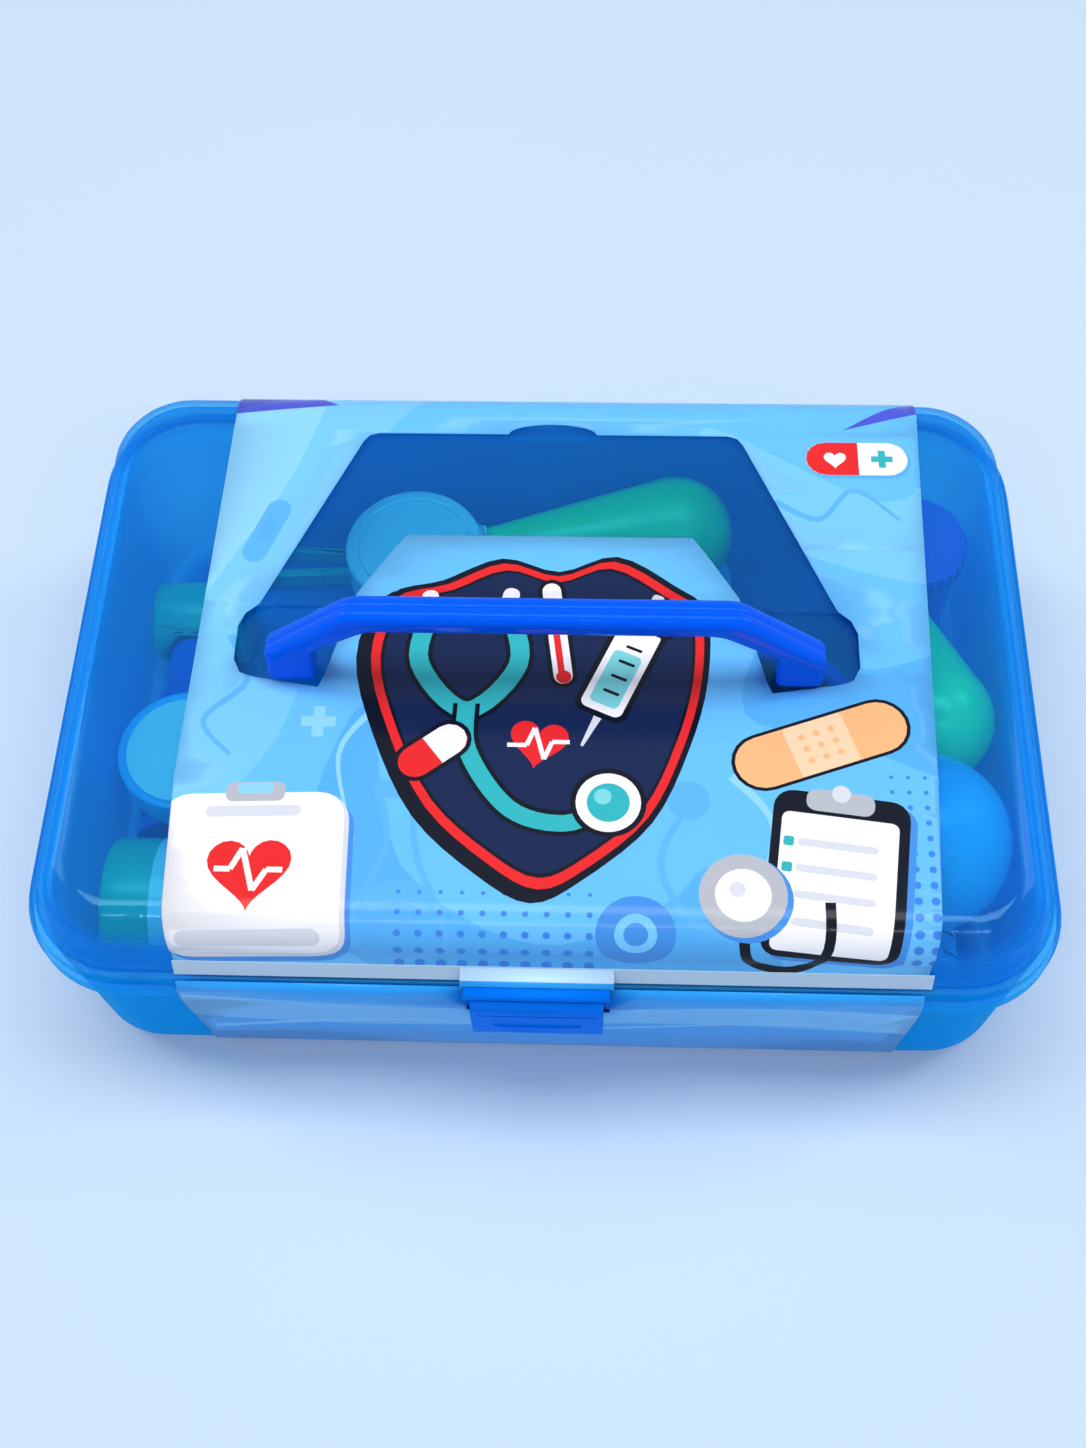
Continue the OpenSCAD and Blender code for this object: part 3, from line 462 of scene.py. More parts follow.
INKS = {
    "sky": "#69bffc", "light": "#7ac9ff", "pale": "#8fd3ff", "mid": "#57aff3", "dot": "#3f86e4",
    "ring": "#4791e4", "navy": "#16264f", "night": "#101423", "red": "#ea2a2c", "teal": "#34b4bd",
    "aqua": "#7fd6dc", "white": "#f6f4fb", "grey": "#b7bac4", "silver": "#d9dbe6", "peach": "#ffb981",
    "sand": "#ffd3ad", "violet": "#4d57d8", "panel": "#2ba2fa", "band": "#c4e6ff", "faint": "#5fb3f4"}
inks = {name: printed(name, colour) for name, colour in INKS.items()}
print("inks:", len(inks))

# %% [markdown]
# ## Outlines for the print
# The artwork is made of a few kinds of outline. Each is a function that gives the
# outline's corners in millimetres, where x runs across the sheet and v along it, from
# the back edge down to the front edge. A smooth outline is a Catmull-Rom curve, which
# passes through each of its points.

# %% Outline functions
def turned_about(points, centre, degrees):
    """Points round (0, 0), turned and moved to centre."""
    c, s = cos(radians(degrees)), sin(radians(degrees))
    return [(centre[0] + c * x - s * y, centre[1] + s * x + c * y) for x, y in points]


def disc(x, y, r, steps=32):
    angles = [2 * pi * i / steps for i in range(steps)]
    return [(x + r * cos(a), y + r * sin(a)) for a in angles]


def card(x, y, w, h, r, degrees=0, steps=5):
    """A rectangle with round corners. With r at half its height it is a pill."""
    points = []
    for corner, (sx, sy) in enumerate([(1, 1), (-1, 1), (-1, -1), (1, -1)]):
        for i in range(steps + 1):
            a = radians(90 * (corner + i / steps))
            points.append((sx * (w / 2 - r) + r * cos(a), sy * (h / 2 - r) + r * sin(a)))
    return turned_about(points, (x, y), degrees)


def half_pill(x, y, reach, r, degrees, steps):
    """Half of a pill, cut straight at (x, y), whose round end has its centre at reach from there."""
    angles = [pi * i / steps for i in range(steps + 1)]
    arc = [(reach + r * sin(a), r * cos(a)) for a in angles]
    return turned_about([(0, r), *arc, (0, -r)], (x, y), degrees)


def catmull(before, here, after, beyond, t):
    """The point at share t of the way from here to after, on the curve through all four."""
    return tuple(0.5 * (2 * b + (c - a) * t + (2 * a - 5 * b + 4 * c - d) * t**2 + (3 * b - a - 3 * c + d) * t**3)
                 for a, b, c, d in zip(before, here, after, beyond))


def smooth(points, steps=5):
    """A closed smooth outline through the points."""
    n = len(points)
    return [catmull(points[i - 1], points[i], points[(i + 1) % n], points[(i + 2) % n], k / steps)
            for i in range(n) for k in range(steps)]


def run_through(points, steps=6):
    """An open smooth line through the points."""
    padded = [points[0], *points, points[-1]]
    line = [catmull(*padded[i : i + 4], k / steps) for i in range(len(points) - 1) for k in range(steps)]
    return line + [points[-1]]


def stroke(points, width, end_width=None, steps=6):
    """A brush stroke along a smooth line, which may taper."""
    line = [Vector(p) for p in run_through(points, steps)]
    left, back = [], []
    for i, point in enumerate(line):
        way = (line[min(i + 1, len(line) - 1)] - line[max(i - 1, 0)]).normalized()
        share = i / (len(line) - 1)
        half = (width * (1 - share) + (width if end_width is None else end_width) * share) / 2
        side = Vector((-way.y, way.x)) * half
        left.append(tuple(point + side))
        back.append(tuple(point - side))
    return left + back[::-1]


def zigzag(ink, points, width):
    """A line of straight strokes, such as a heartbeat."""
    return [(ink, stroke([a, b], width, steps=1)) for a, b in zip(points, points[1:])]


def heart(x, y, size, degrees=0, steps=36):
    """The well-known heart curve, which is 32 units wide, at size mm wide."""
    points, unit = [], size / 32
    for i in range(steps):
        a = 2 * pi * i / steps
        tall = 13 * cos(a) - 5 * cos(2 * a) - 2 * cos(3 * a) - cos(4 * a)
        points.append((unit * 16 * sin(a) ** 3, unit * tall))
    return turned_about(points, (x, y), degrees)


def plus(x, y, size, arm, degrees=0):
    s, a = size / 2, arm / 2
    quarter = [(a, s), (-a, s), (-a, a)]
    return [p for turn in range(4) for p in turned_about(quarter, (x, y), degrees + 90 * turn)]


def grown(points, share):
    """The same outline, scaled about its middle."""
    x, y = (sum(p[i] for p in points) / len(points) for i in (0, 1))
    return [(x + share * (px - x), y + share * (py - y)) for px, py in points]


print("corners of a card and a heart:", len(card(0, 0, 4, 3, 1)), len(heart(0, 0, 4)))

# %% [markdown]
# ## The badge
# A shield fills the middle of the sleeve: a dark edge, a red border and a navy field,
# with medical things in teal, red and white on it. Later shapes lie over earlier ones,
# so the list reads from the bottom up, as a printer would lay down the colours.

# %% Badge
shield = smooth([(-46, -6), (-41, 12), (-27, 17), (-12, 24), (3, 20), (18, 25), (33, 16), (41, 8), (41, -12),
                 (36, -32), (27, -52), (12, -66), (0, -72), (-13, -65), (-29, -50), (-40, -28)], steps=4)
ear_tubes = [(-31, 8), (-33, -8), (-20, -22), (-7, -8), (-10, 9)]
chest_tube = [(-20, -20), (-19, -34), (-8, -50), (6, -54), (17, -49)]
badge = [
    ("night", [(x - 1.8, y - 1.2) for x, y in grown(shield, 1.045)]), ("night", grown(shield, 1.04)),
    ("red", shield), ("night", grown(shield, 0.945)), ("navy", grown(shield, 0.925)),
    # stethoscope: two ear tubes, the tube and the chest piece
    ("night", stroke(ear_tubes, 7.4)), ("teal", stroke(ear_tubes, 5)),
    ("night", stroke(chest_tube, 7.0)), ("teal", stroke(chest_tube, 4.6)),
    ("night", disc(17, -48, 9.6)), ("white", disc(17, -48, 8.2)), ("teal", disc(17, -48, 5.4)),
    ("aqua", disc(15.6, -46.4, 2.2)),
    ("white", card(-31, 11, 4.5, 8, 2, 12)), ("white", card(-10, 12, 4.5, 8, 2, -12)),
    # syringe
    ("night", card(20, -9, 14.5, 31, 3, -24)), ("white", card(20, -9, 11.5, 28, 2, -24)),
    ("aqua", card(18.6, -12, 8, 17, 1.5, -24)),
    ("night", card(26, 5, 17, 4.4, 1.5, -24)), ("silver", card(26, 5, 14.5, 2.4, 1, -24)),
    ("silver", card(28.4, 10, 3.2, 9, 1, -24)), ("silver", stroke([(14, -23.5), (10, -32)], 2.2, 0.7)),
    *[("night", card(17.4 + 2 * i, -16 + 4.4 * i, 4.5, 0.9, 0.3, -24)) for i in range(4)],
    # two-colour capsule
    ("night", card(-28, -34, 22, 11.4, 5.7, 38)), ("red", card(-28, -34, 19.6, 9, 4.5, 38)),
    ("white", half_pill(-28, -34, 5.3, 4.5, 38, 6)),
    # thermometer, and a heart with a heartbeat
    ("night", card(3, 2, 7.4, 34, 3.7, 8)), ("white", card(3, 2, 5, 31.6, 2.5, 8)),
    ("red", card(3.4, -3, 1.8, 20, 0.9, 8)), ("red", disc(5, -11.6, 2)), ("red", heart(-1, -31, 15, -8)),
    *zigzag("white", [(-9, -32), (-4, -32), (-2, -27), (0.5, -36), (2.5, -31), (7, -31)], 1.2)]
print("badge shapes:", len(badge))

# %% [markdown]
# ## The rest of the print
# The ground is sky blue with lighter sweeps that fall from the top left, halftone dots
# that fade, and pale rings. A white record card with a heart lies at the left, and a
# note board, a plaster and a chest piece at the right. A red and white capsule sits in
# the top right corner.

# %% Ground
DOT_BIG, DOT_SMALL = 2.7, 1.1  # mm across


def halftone(x0, v0, columns, rows, pitch):
    """Rows of dots that shrink from the first row to the last."""
    shrink = (DOT_SMALL - DOT_BIG) / (rows - 1)
    return [("dot", disc(x0 + i * pitch, v0 + k * pitch, (DOT_BIG + shrink * k) / 2, 10))
            for i in range(columns) for k in range(rows)]


sweeps = [
    ("light", smooth([(-110, 115), (-20, 115), (-52, 60), (-60, 10), (-72, -38), (-110, -60)])),
    ("pale", smooth([(-100, 110), (-64, 105), (-70, 62), (-84, 30), (-104, 0), (-110, 60)])),
    ("light", smooth([(44, 72), (92, 46), (112, 60), (112, 20), (66, 30), (50, 52)])),
    ("mid", smooth([(-46, -20), (-58, -60), (-40, -96), (10, -104), (60, -100), (44, -66), (30, -76), (0, -86),
                    (-34, -66)])),
    ("mid", smooth([(60, 2), (84, -8), (110, -4), (110, -40), (78, -30), (52, -22)])),
    ("violet", [(-100, 74), (-62, 79), (-66, 82), (-72, 92), (-100, 94)]),
    ("violet", [(82, 71), (92, 74), (106, 78), (106, 84), (96, 80)]),
    ("pale", stroke([(-36, 84), (0, 86), (40, 83)], 3, 0.5)),
    ("light", stroke([(-60, 40), (-66, 20), (-80, 2)], 5, 1)),
    ("pale", stroke([(48, -40), (58, -54), (52, -76)], 2.5, 0.6)),
    ("pale", stroke([(-44, -22), (-52, -36), (-46, -60)], 2, 0.5)),
    ("ring", disc(24, -83, 9.8)), ("light", disc(24, -83, 5.2)), ("ring", disc(24, -83, 3.0)),
    # pale marks and faint drawings: a flask, a spoon and a looped tube
    ("pale", plus(-58, -26, 9, 3)), ("pale", plus(56, 20, 8, 2.6, 12)), ("light", plus(92, 26, 7, 2.4, -10)),
    ("faint", stroke([(-40, -48), (-38, -62), (-46, -84), (-34, -93), (-22, -86), (-30, -64), (-32, -50)], 1.6)),
    ("faint", card(-36, -45, 12, 5, 1.5, 4)), ("faint", stroke([(-42, -76), (-34, -73), (-26, -76)], 6)),
    ("faint", stroke([(36, -50), (30, -64), (36, -78), (48, -84)], 1.8)), ("faint", disc(37, -47, 5.4)),
    ("faint", stroke([(-84, 0), (-78, -14), (-88, -26), (-80, -36)], 2.2, 1)),
    ("faint", stroke([(62, 46), (74, 40), (84, 50), (96, 40)], 2, 1)),
    ("faint", card(-78, 34, 7, 22, 3.5, -20)), ("mid", card(-78, 34, 4, 8, 2, -20)),
    *halftone(-34, -94, 10, 5, 5.2), *halftone(88, -90, 3, 13, 4.2)]
print("ground shapes:", len(sweeps))

# %% Record card, note board, plaster and capsule
left_card = [
    ("ring", card(-69.2, -71.6, 47, 46, 8, 2)), ("silver", card(-70.6, -70, 47, 46, 8, 2)),
    ("white", card(-71.4, -69.2, 46, 44.5, 7, 2)),
    ("silver", card(-70.8, -86, 36, 5, 2.5, 2)), ("silver", card(-72, -52, 24, 3, 1.5, 2)),
    ("grey", card(-72, -46.6, 15, 5.4, 2, 2)), ("pale", card(-72, -45.6, 9, 3, 1.2, 2)),
    ("red", heart(-71.4, -68, 21, 2)),
    *zigzag("white", [(-80, -68), (-76, -68), (-73.4, -62.4), (-70, -73.6), (-67, -68), (-63, -68)], 1.5)]
PLASTER, PLASTER_TURN = (71, -30.5), 20
holes = turned_about([(x, y) for x in (-4, 0, 4) for y in (-3.5, 0, 3.5)], PLASTER, PLASTER_TURN)
right_group = [
    # note board
    ("ring", card(74.6, -69, 34, 45, 5, -7)), ("night", card(73, -67.4, 34, 45, 5, -7)),
    ("white", card(72.6, -69.4, 29, 37, 2, -7)),
    ("grey", card(75, -47, 17, 6, 2.5, -7)), ("silver", disc(75.3, -44.6, 2.4, 16)),
    *[("silver", card(73.6 - 0.8 * i, -59 - 7 * i, 20, 2, 1, -7)) for i in range(4)],
    *[("teal", card(61.6 - 0.8 * i, -57.6 - 7 * i, 2.6, 2.6, 0.6, -7)) for i in range(4)],
    # plaster
    ("night", card(*PLASTER, 48, 16.4, 8.2, PLASTER_TURN)), ("peach", card(*PLASTER, 46, 14.6, 7.3, PLASTER_TURN)),
    ("sand", card(*PLASTER, 16, 14.6, 1, PLASTER_TURN)), *[("peach", disc(x, y, 0.9, 10)) for x, y in holes],
    # chest piece and its tube
    ("night", stroke([(50, -81), (52, -91), (62, -94), (70, -88), (71, -74)], 2.6)),
    ("ring", disc(51, -73.4, 11.2)), ("grey", disc(50, -72.4, 10.8)), ("white", disc(50, -72.4, 6.9)),
    ("silver", disc(48.6, -71, 2))]
corner_capsule = [
    ("mid", card(86.2, 60.2, 29, 12, 6)), ("white", card(85.6, 61, 28.4, 11.4, 5.7)),
    ("red", half_pill(86, 61, 8.9, 5.7, 180, 8)),
    ("white", heart(79.5, 60.8, 6.2)), ("teal", plus(92.6, 61, 6, 2))]
artwork = sweeps + badge + left_card + right_group + corner_capsule
print("shapes in the print:", len(artwork))

# %% [markdown]
# ## Wrapping the sheet
# The upper half of the sleeve lies on the lid's flat top, turns over its rounded
# shoulder and hangs down its wall. Distance along the sheet stays the same as it wraps,
# so the print doesn't stretch. The numbers come from the CAD film's own box.

# %% The sheet's route over the lid
film_low, film_high = box_mm("sleeve_upper")
film_top = film_high.z
SHOULDER, WALL_LEAN = 10.4, 2.75       # mm: the film's radius on the shoulder, how far the wall leans out
HAIR = 0.01  # mm: the print stands this far out of the CAD film
flat_run = film_high.y - WALL_LEAN - SHOULDER + HAIR
turn_run = SHOULDER * pi / 2
wall_drop = film_top - SHOULDER - film_low.z
wall_run = hypot(wall_drop, WALL_LEAN)
half_run = flat_run + turn_run + wall_run


def over_lid(x, v):
    """A point of the flat sheet, wrapped over the lid. v = 0 is the middle of the case."""
    side, run = (1 if v > 0 else -1), min(abs(v), half_run)
    if run <= flat_run:
        y, z = run, film_top
    elif run <= flat_run + turn_run:
        a = (run - flat_run) / SHOULDER
        y, z = flat_run + SHOULDER * sin(a), film_top - SHOULDER + SHOULDER * cos(a)
    else:
        share = (run - flat_run - turn_run) / wall_run
        y, z = flat_run + SHOULDER + WALL_LEAN * share, film_top - SHOULDER - wall_drop * share
    return Vector((x, side * y, z)) * MM


print("flat, turn and wall in mm:", round(flat_run, 1), round(turn_run, 1), round(wall_run, 1))

# %% Cut a sheet along its print
CORNER_MEETS = 1e-4  # mm: corners that are this close are one corner of the print


def counter_clockwise(points):
    area = sum(a[0] * b[1] - b[0] * a[1] for a, b in zip(points, points[1:] + points[:1]))
    return points if area > 0 else points[::-1]


def cut_sheet(name, outline, holes, art, rows, place, body, thickness=0.3, ground="sky", stands_for=()):
    """A thin printed sheet: cut flat along every outline, then put in place.

    rows are lines across the flat sheet, where it may bend. place gives each of its points
    a spot on the case, in metres. All else is in mm.
    """
    corners, edges, faces = [], [], []
    for points in [outline, *holes, *(shape for ink, shape in art)]:
        faces.append(list(range(len(corners), len(corners) + len(points))))
        corners.extend(Vector(p) for p in counter_clockwise(points))
    for (x0, v0), (x1, v1) in rows:
        edges.append((len(corners), len(corners) + 1))
        corners += [Vector((x0, v0)), Vector((x1, v1))]
    points, _, cells, _, _, owners = geometry.delaunay_2d_cdt(corners, edges, faces, 0, CORNER_MEETS, True)
    used = sorted({ground, *(ink for ink, shape in art)})
    first_art = 1 + len(holes)
    kept, slots = [], []
    for cell, owner in zip(cells, owners):
        if 0 not in owner or any(1 <= o < first_art for o in owner):
            continue
        top = max(owner)
        kept.append(cell)
        slots.append(used.index(art[top - first_art][0] if top >= first_art else ground))
    mesh = bpy.data.meshes.new(name)
    mesh.from_pydata([place(p.x, p.y) for p in points], [], kept)
    for polygon, index in zip(mesh.polygons, slots):
        polygon.material_index, polygon.use_smooth = index, True
    for ink in used:
        mesh.materials.append(inks[ink])
    piece = put(name, mesh)
    sheet = piece.modifiers.new("film thickness", "SOLIDIFY")
    sheet.thickness, sheet.offset = thickness * MM, -1
    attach(piece, body)
    if stands_for:
        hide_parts(*stands_for)
    print(name, "faces:", len(kept), "inks:", len(used))
    return piece


# %% The upper sleeve, with its window
BUMP_X, BACK_V, BUMP_V = 12.5, 68.6, 3.6       # mm: the window's back edge, and the round bump in its middle
FAR, TURN_STEPS, SEAM = 120, 12, 4.9   # mm: FAR is past the film's edges, and SEAM is the bare band at the seam
half_window = [(59.2, -15.7), (76.5, -12.9), (80.3, -11.6), (82.3, -7.5), (82.4, 3), (80.8, 7), (77.4, 10),
               (53.8, 65.6), (52.2, 67.8), (49.6, BACK_V), (BUMP_X, BACK_V)]
tongue = [(39.2, 33.2), (43.2, 27.2), (51.4, 13.6), (57.8, -12)]
bump_angles = [radians(a) for a in range(15, 180, 15)]
bump = [(BUMP_X * cos(a), BACK_V + BUMP_V * sin(a)) for a in bump_angles]
mirrored = [(-x, v) for x, v in (tongue + half_window)[::-1]]
window = half_window + bump + mirrored + tongue
left_edge = [(-91, half_run), (-91.3, 76), (-93.4, -43), (-91.4, -80), (-89.8, -half_run)]
right_edge = [(95.4, -half_run), (97.4, -80), (99.8, -40), (103.4, 76), (103.2, half_run)]
turn_rows = [s * (flat_run + turn_run * i / TURN_STEPS) for i in range(TURN_STEPS + 1) for s in (-1, 1)]
row_lines = [((-FAR, v), (FAR, v)) for v in (*turn_rows, *range(-70, 75, 10))]
ends = [("band", [(-FAR, -half_run - 1), (FAR, -half_run - 1), (FAR, -half_run + SEAM), (-FAR, -half_run + SEAM)])]
cut_sheet("sleeve_print_upper", left_edge + right_edge, [window], artwork + ends, row_lines, over_lid,
          "lid", stands_for=["sleeve_upper"])

# %% [markdown]
# The lower half is plain blue film, pulled over the rim and under the tray. It follows
# the CAD film's section: out over the rim, down the leaning wall, and round the bottom.

# %% Lay a sheet along a section
def follow(section):
    """The length at each point of a section in Y and Z, the lines where a sheet bends on it, and its place."""
    runs = [0.0]
    for (y0, z0), (y1, z1) in zip(section, section[1:]):
        runs.append(runs[-1] + hypot(y1 - y0, z1 - z0))

    def place(x, v):
        # v = 0 is at the section's start, and v grows less from there
        run = min(max(-v, 0), runs[-1] - 1e-6)
        i = max(k for k, start in enumerate(runs[:-1]) if start <= run)
        share = (run - runs[i]) / (runs[i + 1] - runs[i])
        y, z = (a + (b - a) * share for a, b in zip(section[i], section[i + 1]))
        return Vector((x, y, z)) * MM

    return runs, [((-FAR, -run), (FAR, -run)) for run in runs[1:-1]], place


# %% The lower sleeve
lower_low, lower_high = box_mm("sleeve_lower")
rim_y, under_z = -lower_low.y, lower_low.z
RIM_IN, RIM_TOP, RIM_UNDER, BACK_TOP = 1.3, 57.8, 51.7, 54.4   # mm: how far the film draws in over the rim, heights
BOTTOM, FOOT_Y = 6.5, 86.5  # mm: the radius under the tray, and where it starts
under = [(-FOOT_Y + BOTTOM - BOTTOM * cos(a), BOTTOM + under_z - BOTTOM * sin(a))
         for a in (0, 0.3, 0.6, 0.9, 1.2, pi / 2)]
front = [(-rim_y + RIM_IN, lower_high.z), (-rim_y, RIM_TOP), (-rim_y, RIM_UNDER), *under]
back = [(-y, z) for y, z in front[:1:-1]]
lower_runs, lower_rows, round_tray = follow([*front, *back, (rim_y, BACK_TOP)])
lower_end = -lower_runs[-1]
lower_outline = [(-90.5, 0), (-90.8, -14), (-91.2, -60), (-91, -150), (-91, lower_end),
                 (97, lower_end), (97, -150), (96.9, -60), (96.2, -14), (95.6, 0)]
NOTCH, NOTCH_DEEP = 18.2, 15  # mm: half the width of the latch's cut-out, and its depth
latch_hole = [(-NOTCH, 0.5), (-NOTCH, -NOTCH_DEEP), (NOTCH, -NOTCH_DEEP), (NOTCH, 0.5)]
lower_art = [
    ("sky", smooth([(-100, -6), (-20, -14), (60, -8), (110, -16), (110, -34), (40, -26), (-40, -34), (-100, -24)])),
    ("light", stroke([(-88, -40), (-40, -28), (10, -34), (60, -24), (92, -30)], 3, 1))]
cut_sheet("sleeve_print_lower", lower_outline, [latch_hole], lower_art, lower_rows, round_tray,
          "tray", ground="panel", stands_for=["sleeve_lower"])

# %% [markdown]
# Clear tape closes the sleeve's seam along the lid's wall. It is the CAD strip itself,
# in a material that lets most of the print through and turns it milky. At the latch the
# sleeve's end is pressed down over the lid's small tab, so a flap of it is drawn there.

# %% Tape and the flap over the latch's tab
finish_with(nodes["seam_tape"], printed("clear_tape", "#cfe8ff", rough=0.22, sheer=0.3))
flap_runs, flap_rows, over_tab = follow([(-87.3, 66.5), (-93.9, 64.45), (-94.6, 63.8), (-94.6, 62.9)])
FLAP_END, FLAP_EDGE, LAP = 5.0, 1.6, 0.2       # mm: the flap's length, its blue edge, the hood's lap under it


def strip(half, start, end):
    """A strip of the flap's sheet, half its width to each side."""
    return [(-half, -start), (-half, -end), (half, -end), (half, -start)]


flap_art = [("panel", strip(30, FLAP_END - FLAP_EDGE, FLAP_END + 1))]
cut_sheet("sleeve_flap", strip(19, 0, FLAP_END), [], flap_art, [], over_tab,
          "lid", thickness=0.15, ground="band")
hood = cut_sheet("latch_hood", strip(18.1, FLAP_END - LAP, flap_runs[-1]), [], [], flap_rows, over_tab,
                 "lid", thickness=0.12)
finish_with(hood, latch_plastic)

# %% [markdown]
# ## The latch
# The latch is a solid plate that turns on a pin and snaps under the rim. A fine step
# crosses its top and a shallow hollow gives a finger its hold. The plate is a copy of
# the CAD latch, with the step and the hollow cut out of its face.

# %% Cut the latch's face
latch_front = box_mm("latch")[0].y
plate = put("latch_plate", nodes["latch"].data.copy())
weld_corners(plate)
HOLLOW, LATCH_EDGE = 0.45, 0.3         # mm: how deep the step and the hollow are, how far the edge is rounded
STEP_CUT, FINGER_CUT = (56.6, 30, 0.7), (50.4, 22, 3.2)    # mm: height, width and how tall
hollows = bmesh.new()
for z, width, height in (STEP_CUT, FINGER_CUT):
    prism(hollows, card(0, z, width, height, height / 2 - 0.01), latch_front - 1, latch_front + HOLLOW)
plate_mesh = carve(plate, hollows)
finish_with(plate, latch_plastic)
edge = plate.modifiers.new("moulded edge", "BEVEL")
edge.width, edge.segments, edge.angle_limit = LATCH_EDGE * MM, 2, radians(CRISP)
plate.modifiers.new("shading", "WEIGHTED_NORMAL")
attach(plate, "latch")
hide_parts("latch")
print("latch faces:", len(plate_mesh.polygons))

# %% [markdown]
# ## Small things on the toys
# Scales, grip ribs and bands are thin patches that lie round a cylinder. One function
# makes any number of them as one piece: each patch has a stretch along the axis and a
# stretch round it.

# %% Patches round a cylinder
SUNK, STEP_DEGREES = 0.2, 8  # mm of a patch inside the surface, and the turn of one flat on it


def patches(name, axis, centre, radius, spans, finish, proud):
    """Raised patches on a cylinder, proud mm high.

    A span is (start, end) along the axis in mm and (from, to) round it in degrees.
    """
    points, faces = [], []
    one, other, main = {"x": (1, 2, 0), "y": (2, 0, 1), "z": (0, 1, 2)}[axis]
    inner, outer = radius - SUNK, radius + proud
    for start, end, turn_0, turn_1 in spans:
        steps = max(2, round(abs(turn_1 - turn_0) / STEP_DEGREES))
        base = len(points)
        for i in range(steps + 1):
            a = radians(turn_0 + (turn_1 - turn_0) * i / steps)
            for along, r in ((start, inner), (start, outer), (end, outer), (end, inner)):
                point = Vector()
                point[one], point[other] = centre[one] + r * cos(a), centre[other] + r * sin(a)
                point[main] = along
                points.append(point * MM)
        for i in range(steps):
            for k in range(4):
                a, b = base + 4 * i + k, base + 4 * i + (k + 1) % 4
                faces.append((a, b, b + 4, a + 4))
        faces += [(base, base + 3, base + 2, base + 1), tuple(base + 4 * steps + k for k in range(4))]
    mesh = bpy.data.meshes.new(name)
    mesh.from_pydata(points, [], faces)
    mesh.materials.append(finish)
    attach(put(name, mesh), "tray")
    print(name, "patches:", len(spans))


def ribs(node, axis, count, wide, finish, proud):
    """Grip ribs all round a cap, each wide degrees, from 1 mm above one end to 1 mm below the other."""
    low, high = box_mm(node)
    start, end = getattr(low, axis) + 1, getattr(high, axis) - 1
    size, pitch = high - low, 360 / count
    spans = [(start, end, pitch * i, pitch * i + wide) for i in range(count)]
    patches(node + "_ribs", axis, (low + high) / 2, (size.z if axis == "x" else size.x) / 2, spans, finish, proud)


# %% Scales, ribs and labels
BARREL_R, MARK_START, MARK_PITCH, MARK_WIDE = 11, 12, 6, 0.7       # mm
SHORT_MARK, LONG_MARK = 60, 78         # degrees round the barrel at which a mark ends
plunger_low, plunger_high = box_mm("syringe_plunger")
marks = []
for i in range(6):
    start = box_mm("syringe_barrel")[0].y + MARK_START + MARK_PITCH * i
    marks.append((start, start + MARK_WIDE, 30, SHORT_MARK if i % 2 else LONG_MARK))
patches("syringe_scale", "y", (plunger_low + plunger_high) / 2, BARREL_R, marks, mark_ink, 0.08)
ribs("pill_cap", "x", 24, 7, toy_white, 0.5)
bottle_low, bottle_high = box_mm("pill_bottle")
label = (bottle_low.x + 14, bottle_low.x + 38, 10, 170)
patches("pill_bottle_label", "x", (bottle_low + bottle_high) / 2, (bottle_high.z - bottle_low.z) / 2, [label],
        toy_white, 0.12)
ribs("salve_lid", "z", 30, 6, toy_purple, 0.4)
ribs("medicine_cap", "z", 24, 8, toy_white, 0.4)

# %% Gauge dial
dial_low, dial_high = box_mm("gauge_dial")
dial = (dial_low + dial_high) / 2
dial_r = (dial_high.x - dial_low.x) / 2
START, RED_END, END = -40, 30, 220     # degrees: where the arcs start and end


def on_dial(inset, degrees):
    """The point of the dial at inset mm from its rim."""
    a = radians(degrees)
    return dial.x + (dial_r - inset) * cos(a), dial.y + (dial_r - inset) * sin(a)


def arc_band(end):
    """A band along the dial's rim, from START to end."""
    angles = range(START, end + 1, 10)
    return [on_dial(1.2, a) for a in angles] + [on_dial(3.4, a) for a in angles[::-1]]


def on_face(x, y):
    """A point of the dial's print, laid flat on the dial."""
    return Vector((x, y, dial_high.z)) * MM


dial_art = [("teal", arc_band(END)), ("red", arc_band(RED_END))]
dial_art += [("night", stroke([on_dial(4, a), on_dial(7.5 if a % 52 == 38 else 6, a)], 0.9, steps=1))
             for a in range(START, END + 1, 26)]
cut_sheet("gauge_dial_print", disc(dial.x, dial.y, dial_r - 0.05, 48), [], dial_art, [], on_face,
          "tray", thickness=0.5, ground="white", stands_for=["gauge_dial"])

# %% [markdown]
# ## The stethoscope's tubes
# The real tube is one soft bent moulding, while the CAD route is made of straight runs.
# A curve through the same points, given a round section, bends smoothly.

# %% Stethoscope tubes
TUBE, FORK = 3, Vector((-30, -12))     # mm: the tube's radius, and where it forks
yoke_low, yoke_high = box_mm("steth_yoke")
tube_z = (yoke_low.z + yoke_high.z) / 2
routes = {
    "stem": [(-55, 0), (-30, 0), (0, 0)],
    "back": [(0, 0), (30, 22), (68, 37), (102, 38), (119, 24)],
    "front": [(0, 0), (30, -22), (64, -33), (84, -33), (95, -21)]}
tubes = bpy.data.curves.new("stethoscope_tubes", "CURVE")
tubes.dimensions = "3D"
tubes.bevel_depth, tubes.bevel_resolution, tubes.use_fill_caps = TUBE * MM, 5, True
for route in routes.values():
    line = run_through(route, 8)
    spline = tubes.splines.new("POLY")
    spline.points.add(len(line) - 1)
    for point, (x, y) in zip(spline.points, line):
        point.co = (*(Vector((FORK.x + x, FORK.y + y, tube_z)) * MM), 1)
    spline.use_smooth = True
tubes.materials.append(trim_plastic)
tube_piece = put("stethoscope_tubes", tubes)
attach(tube_piece, "tray")
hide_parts("steth_yoke")
print("tubes:", len(routes))

# %% [markdown]
# ## Floor and light
# The photograph has a plain pale blue floor and soft light. A long narrow lamp, high in
# front, gives the streak along the lid's front shoulder. A softbox overhead and one at
# each side light the case, and the world gives the even light around them.

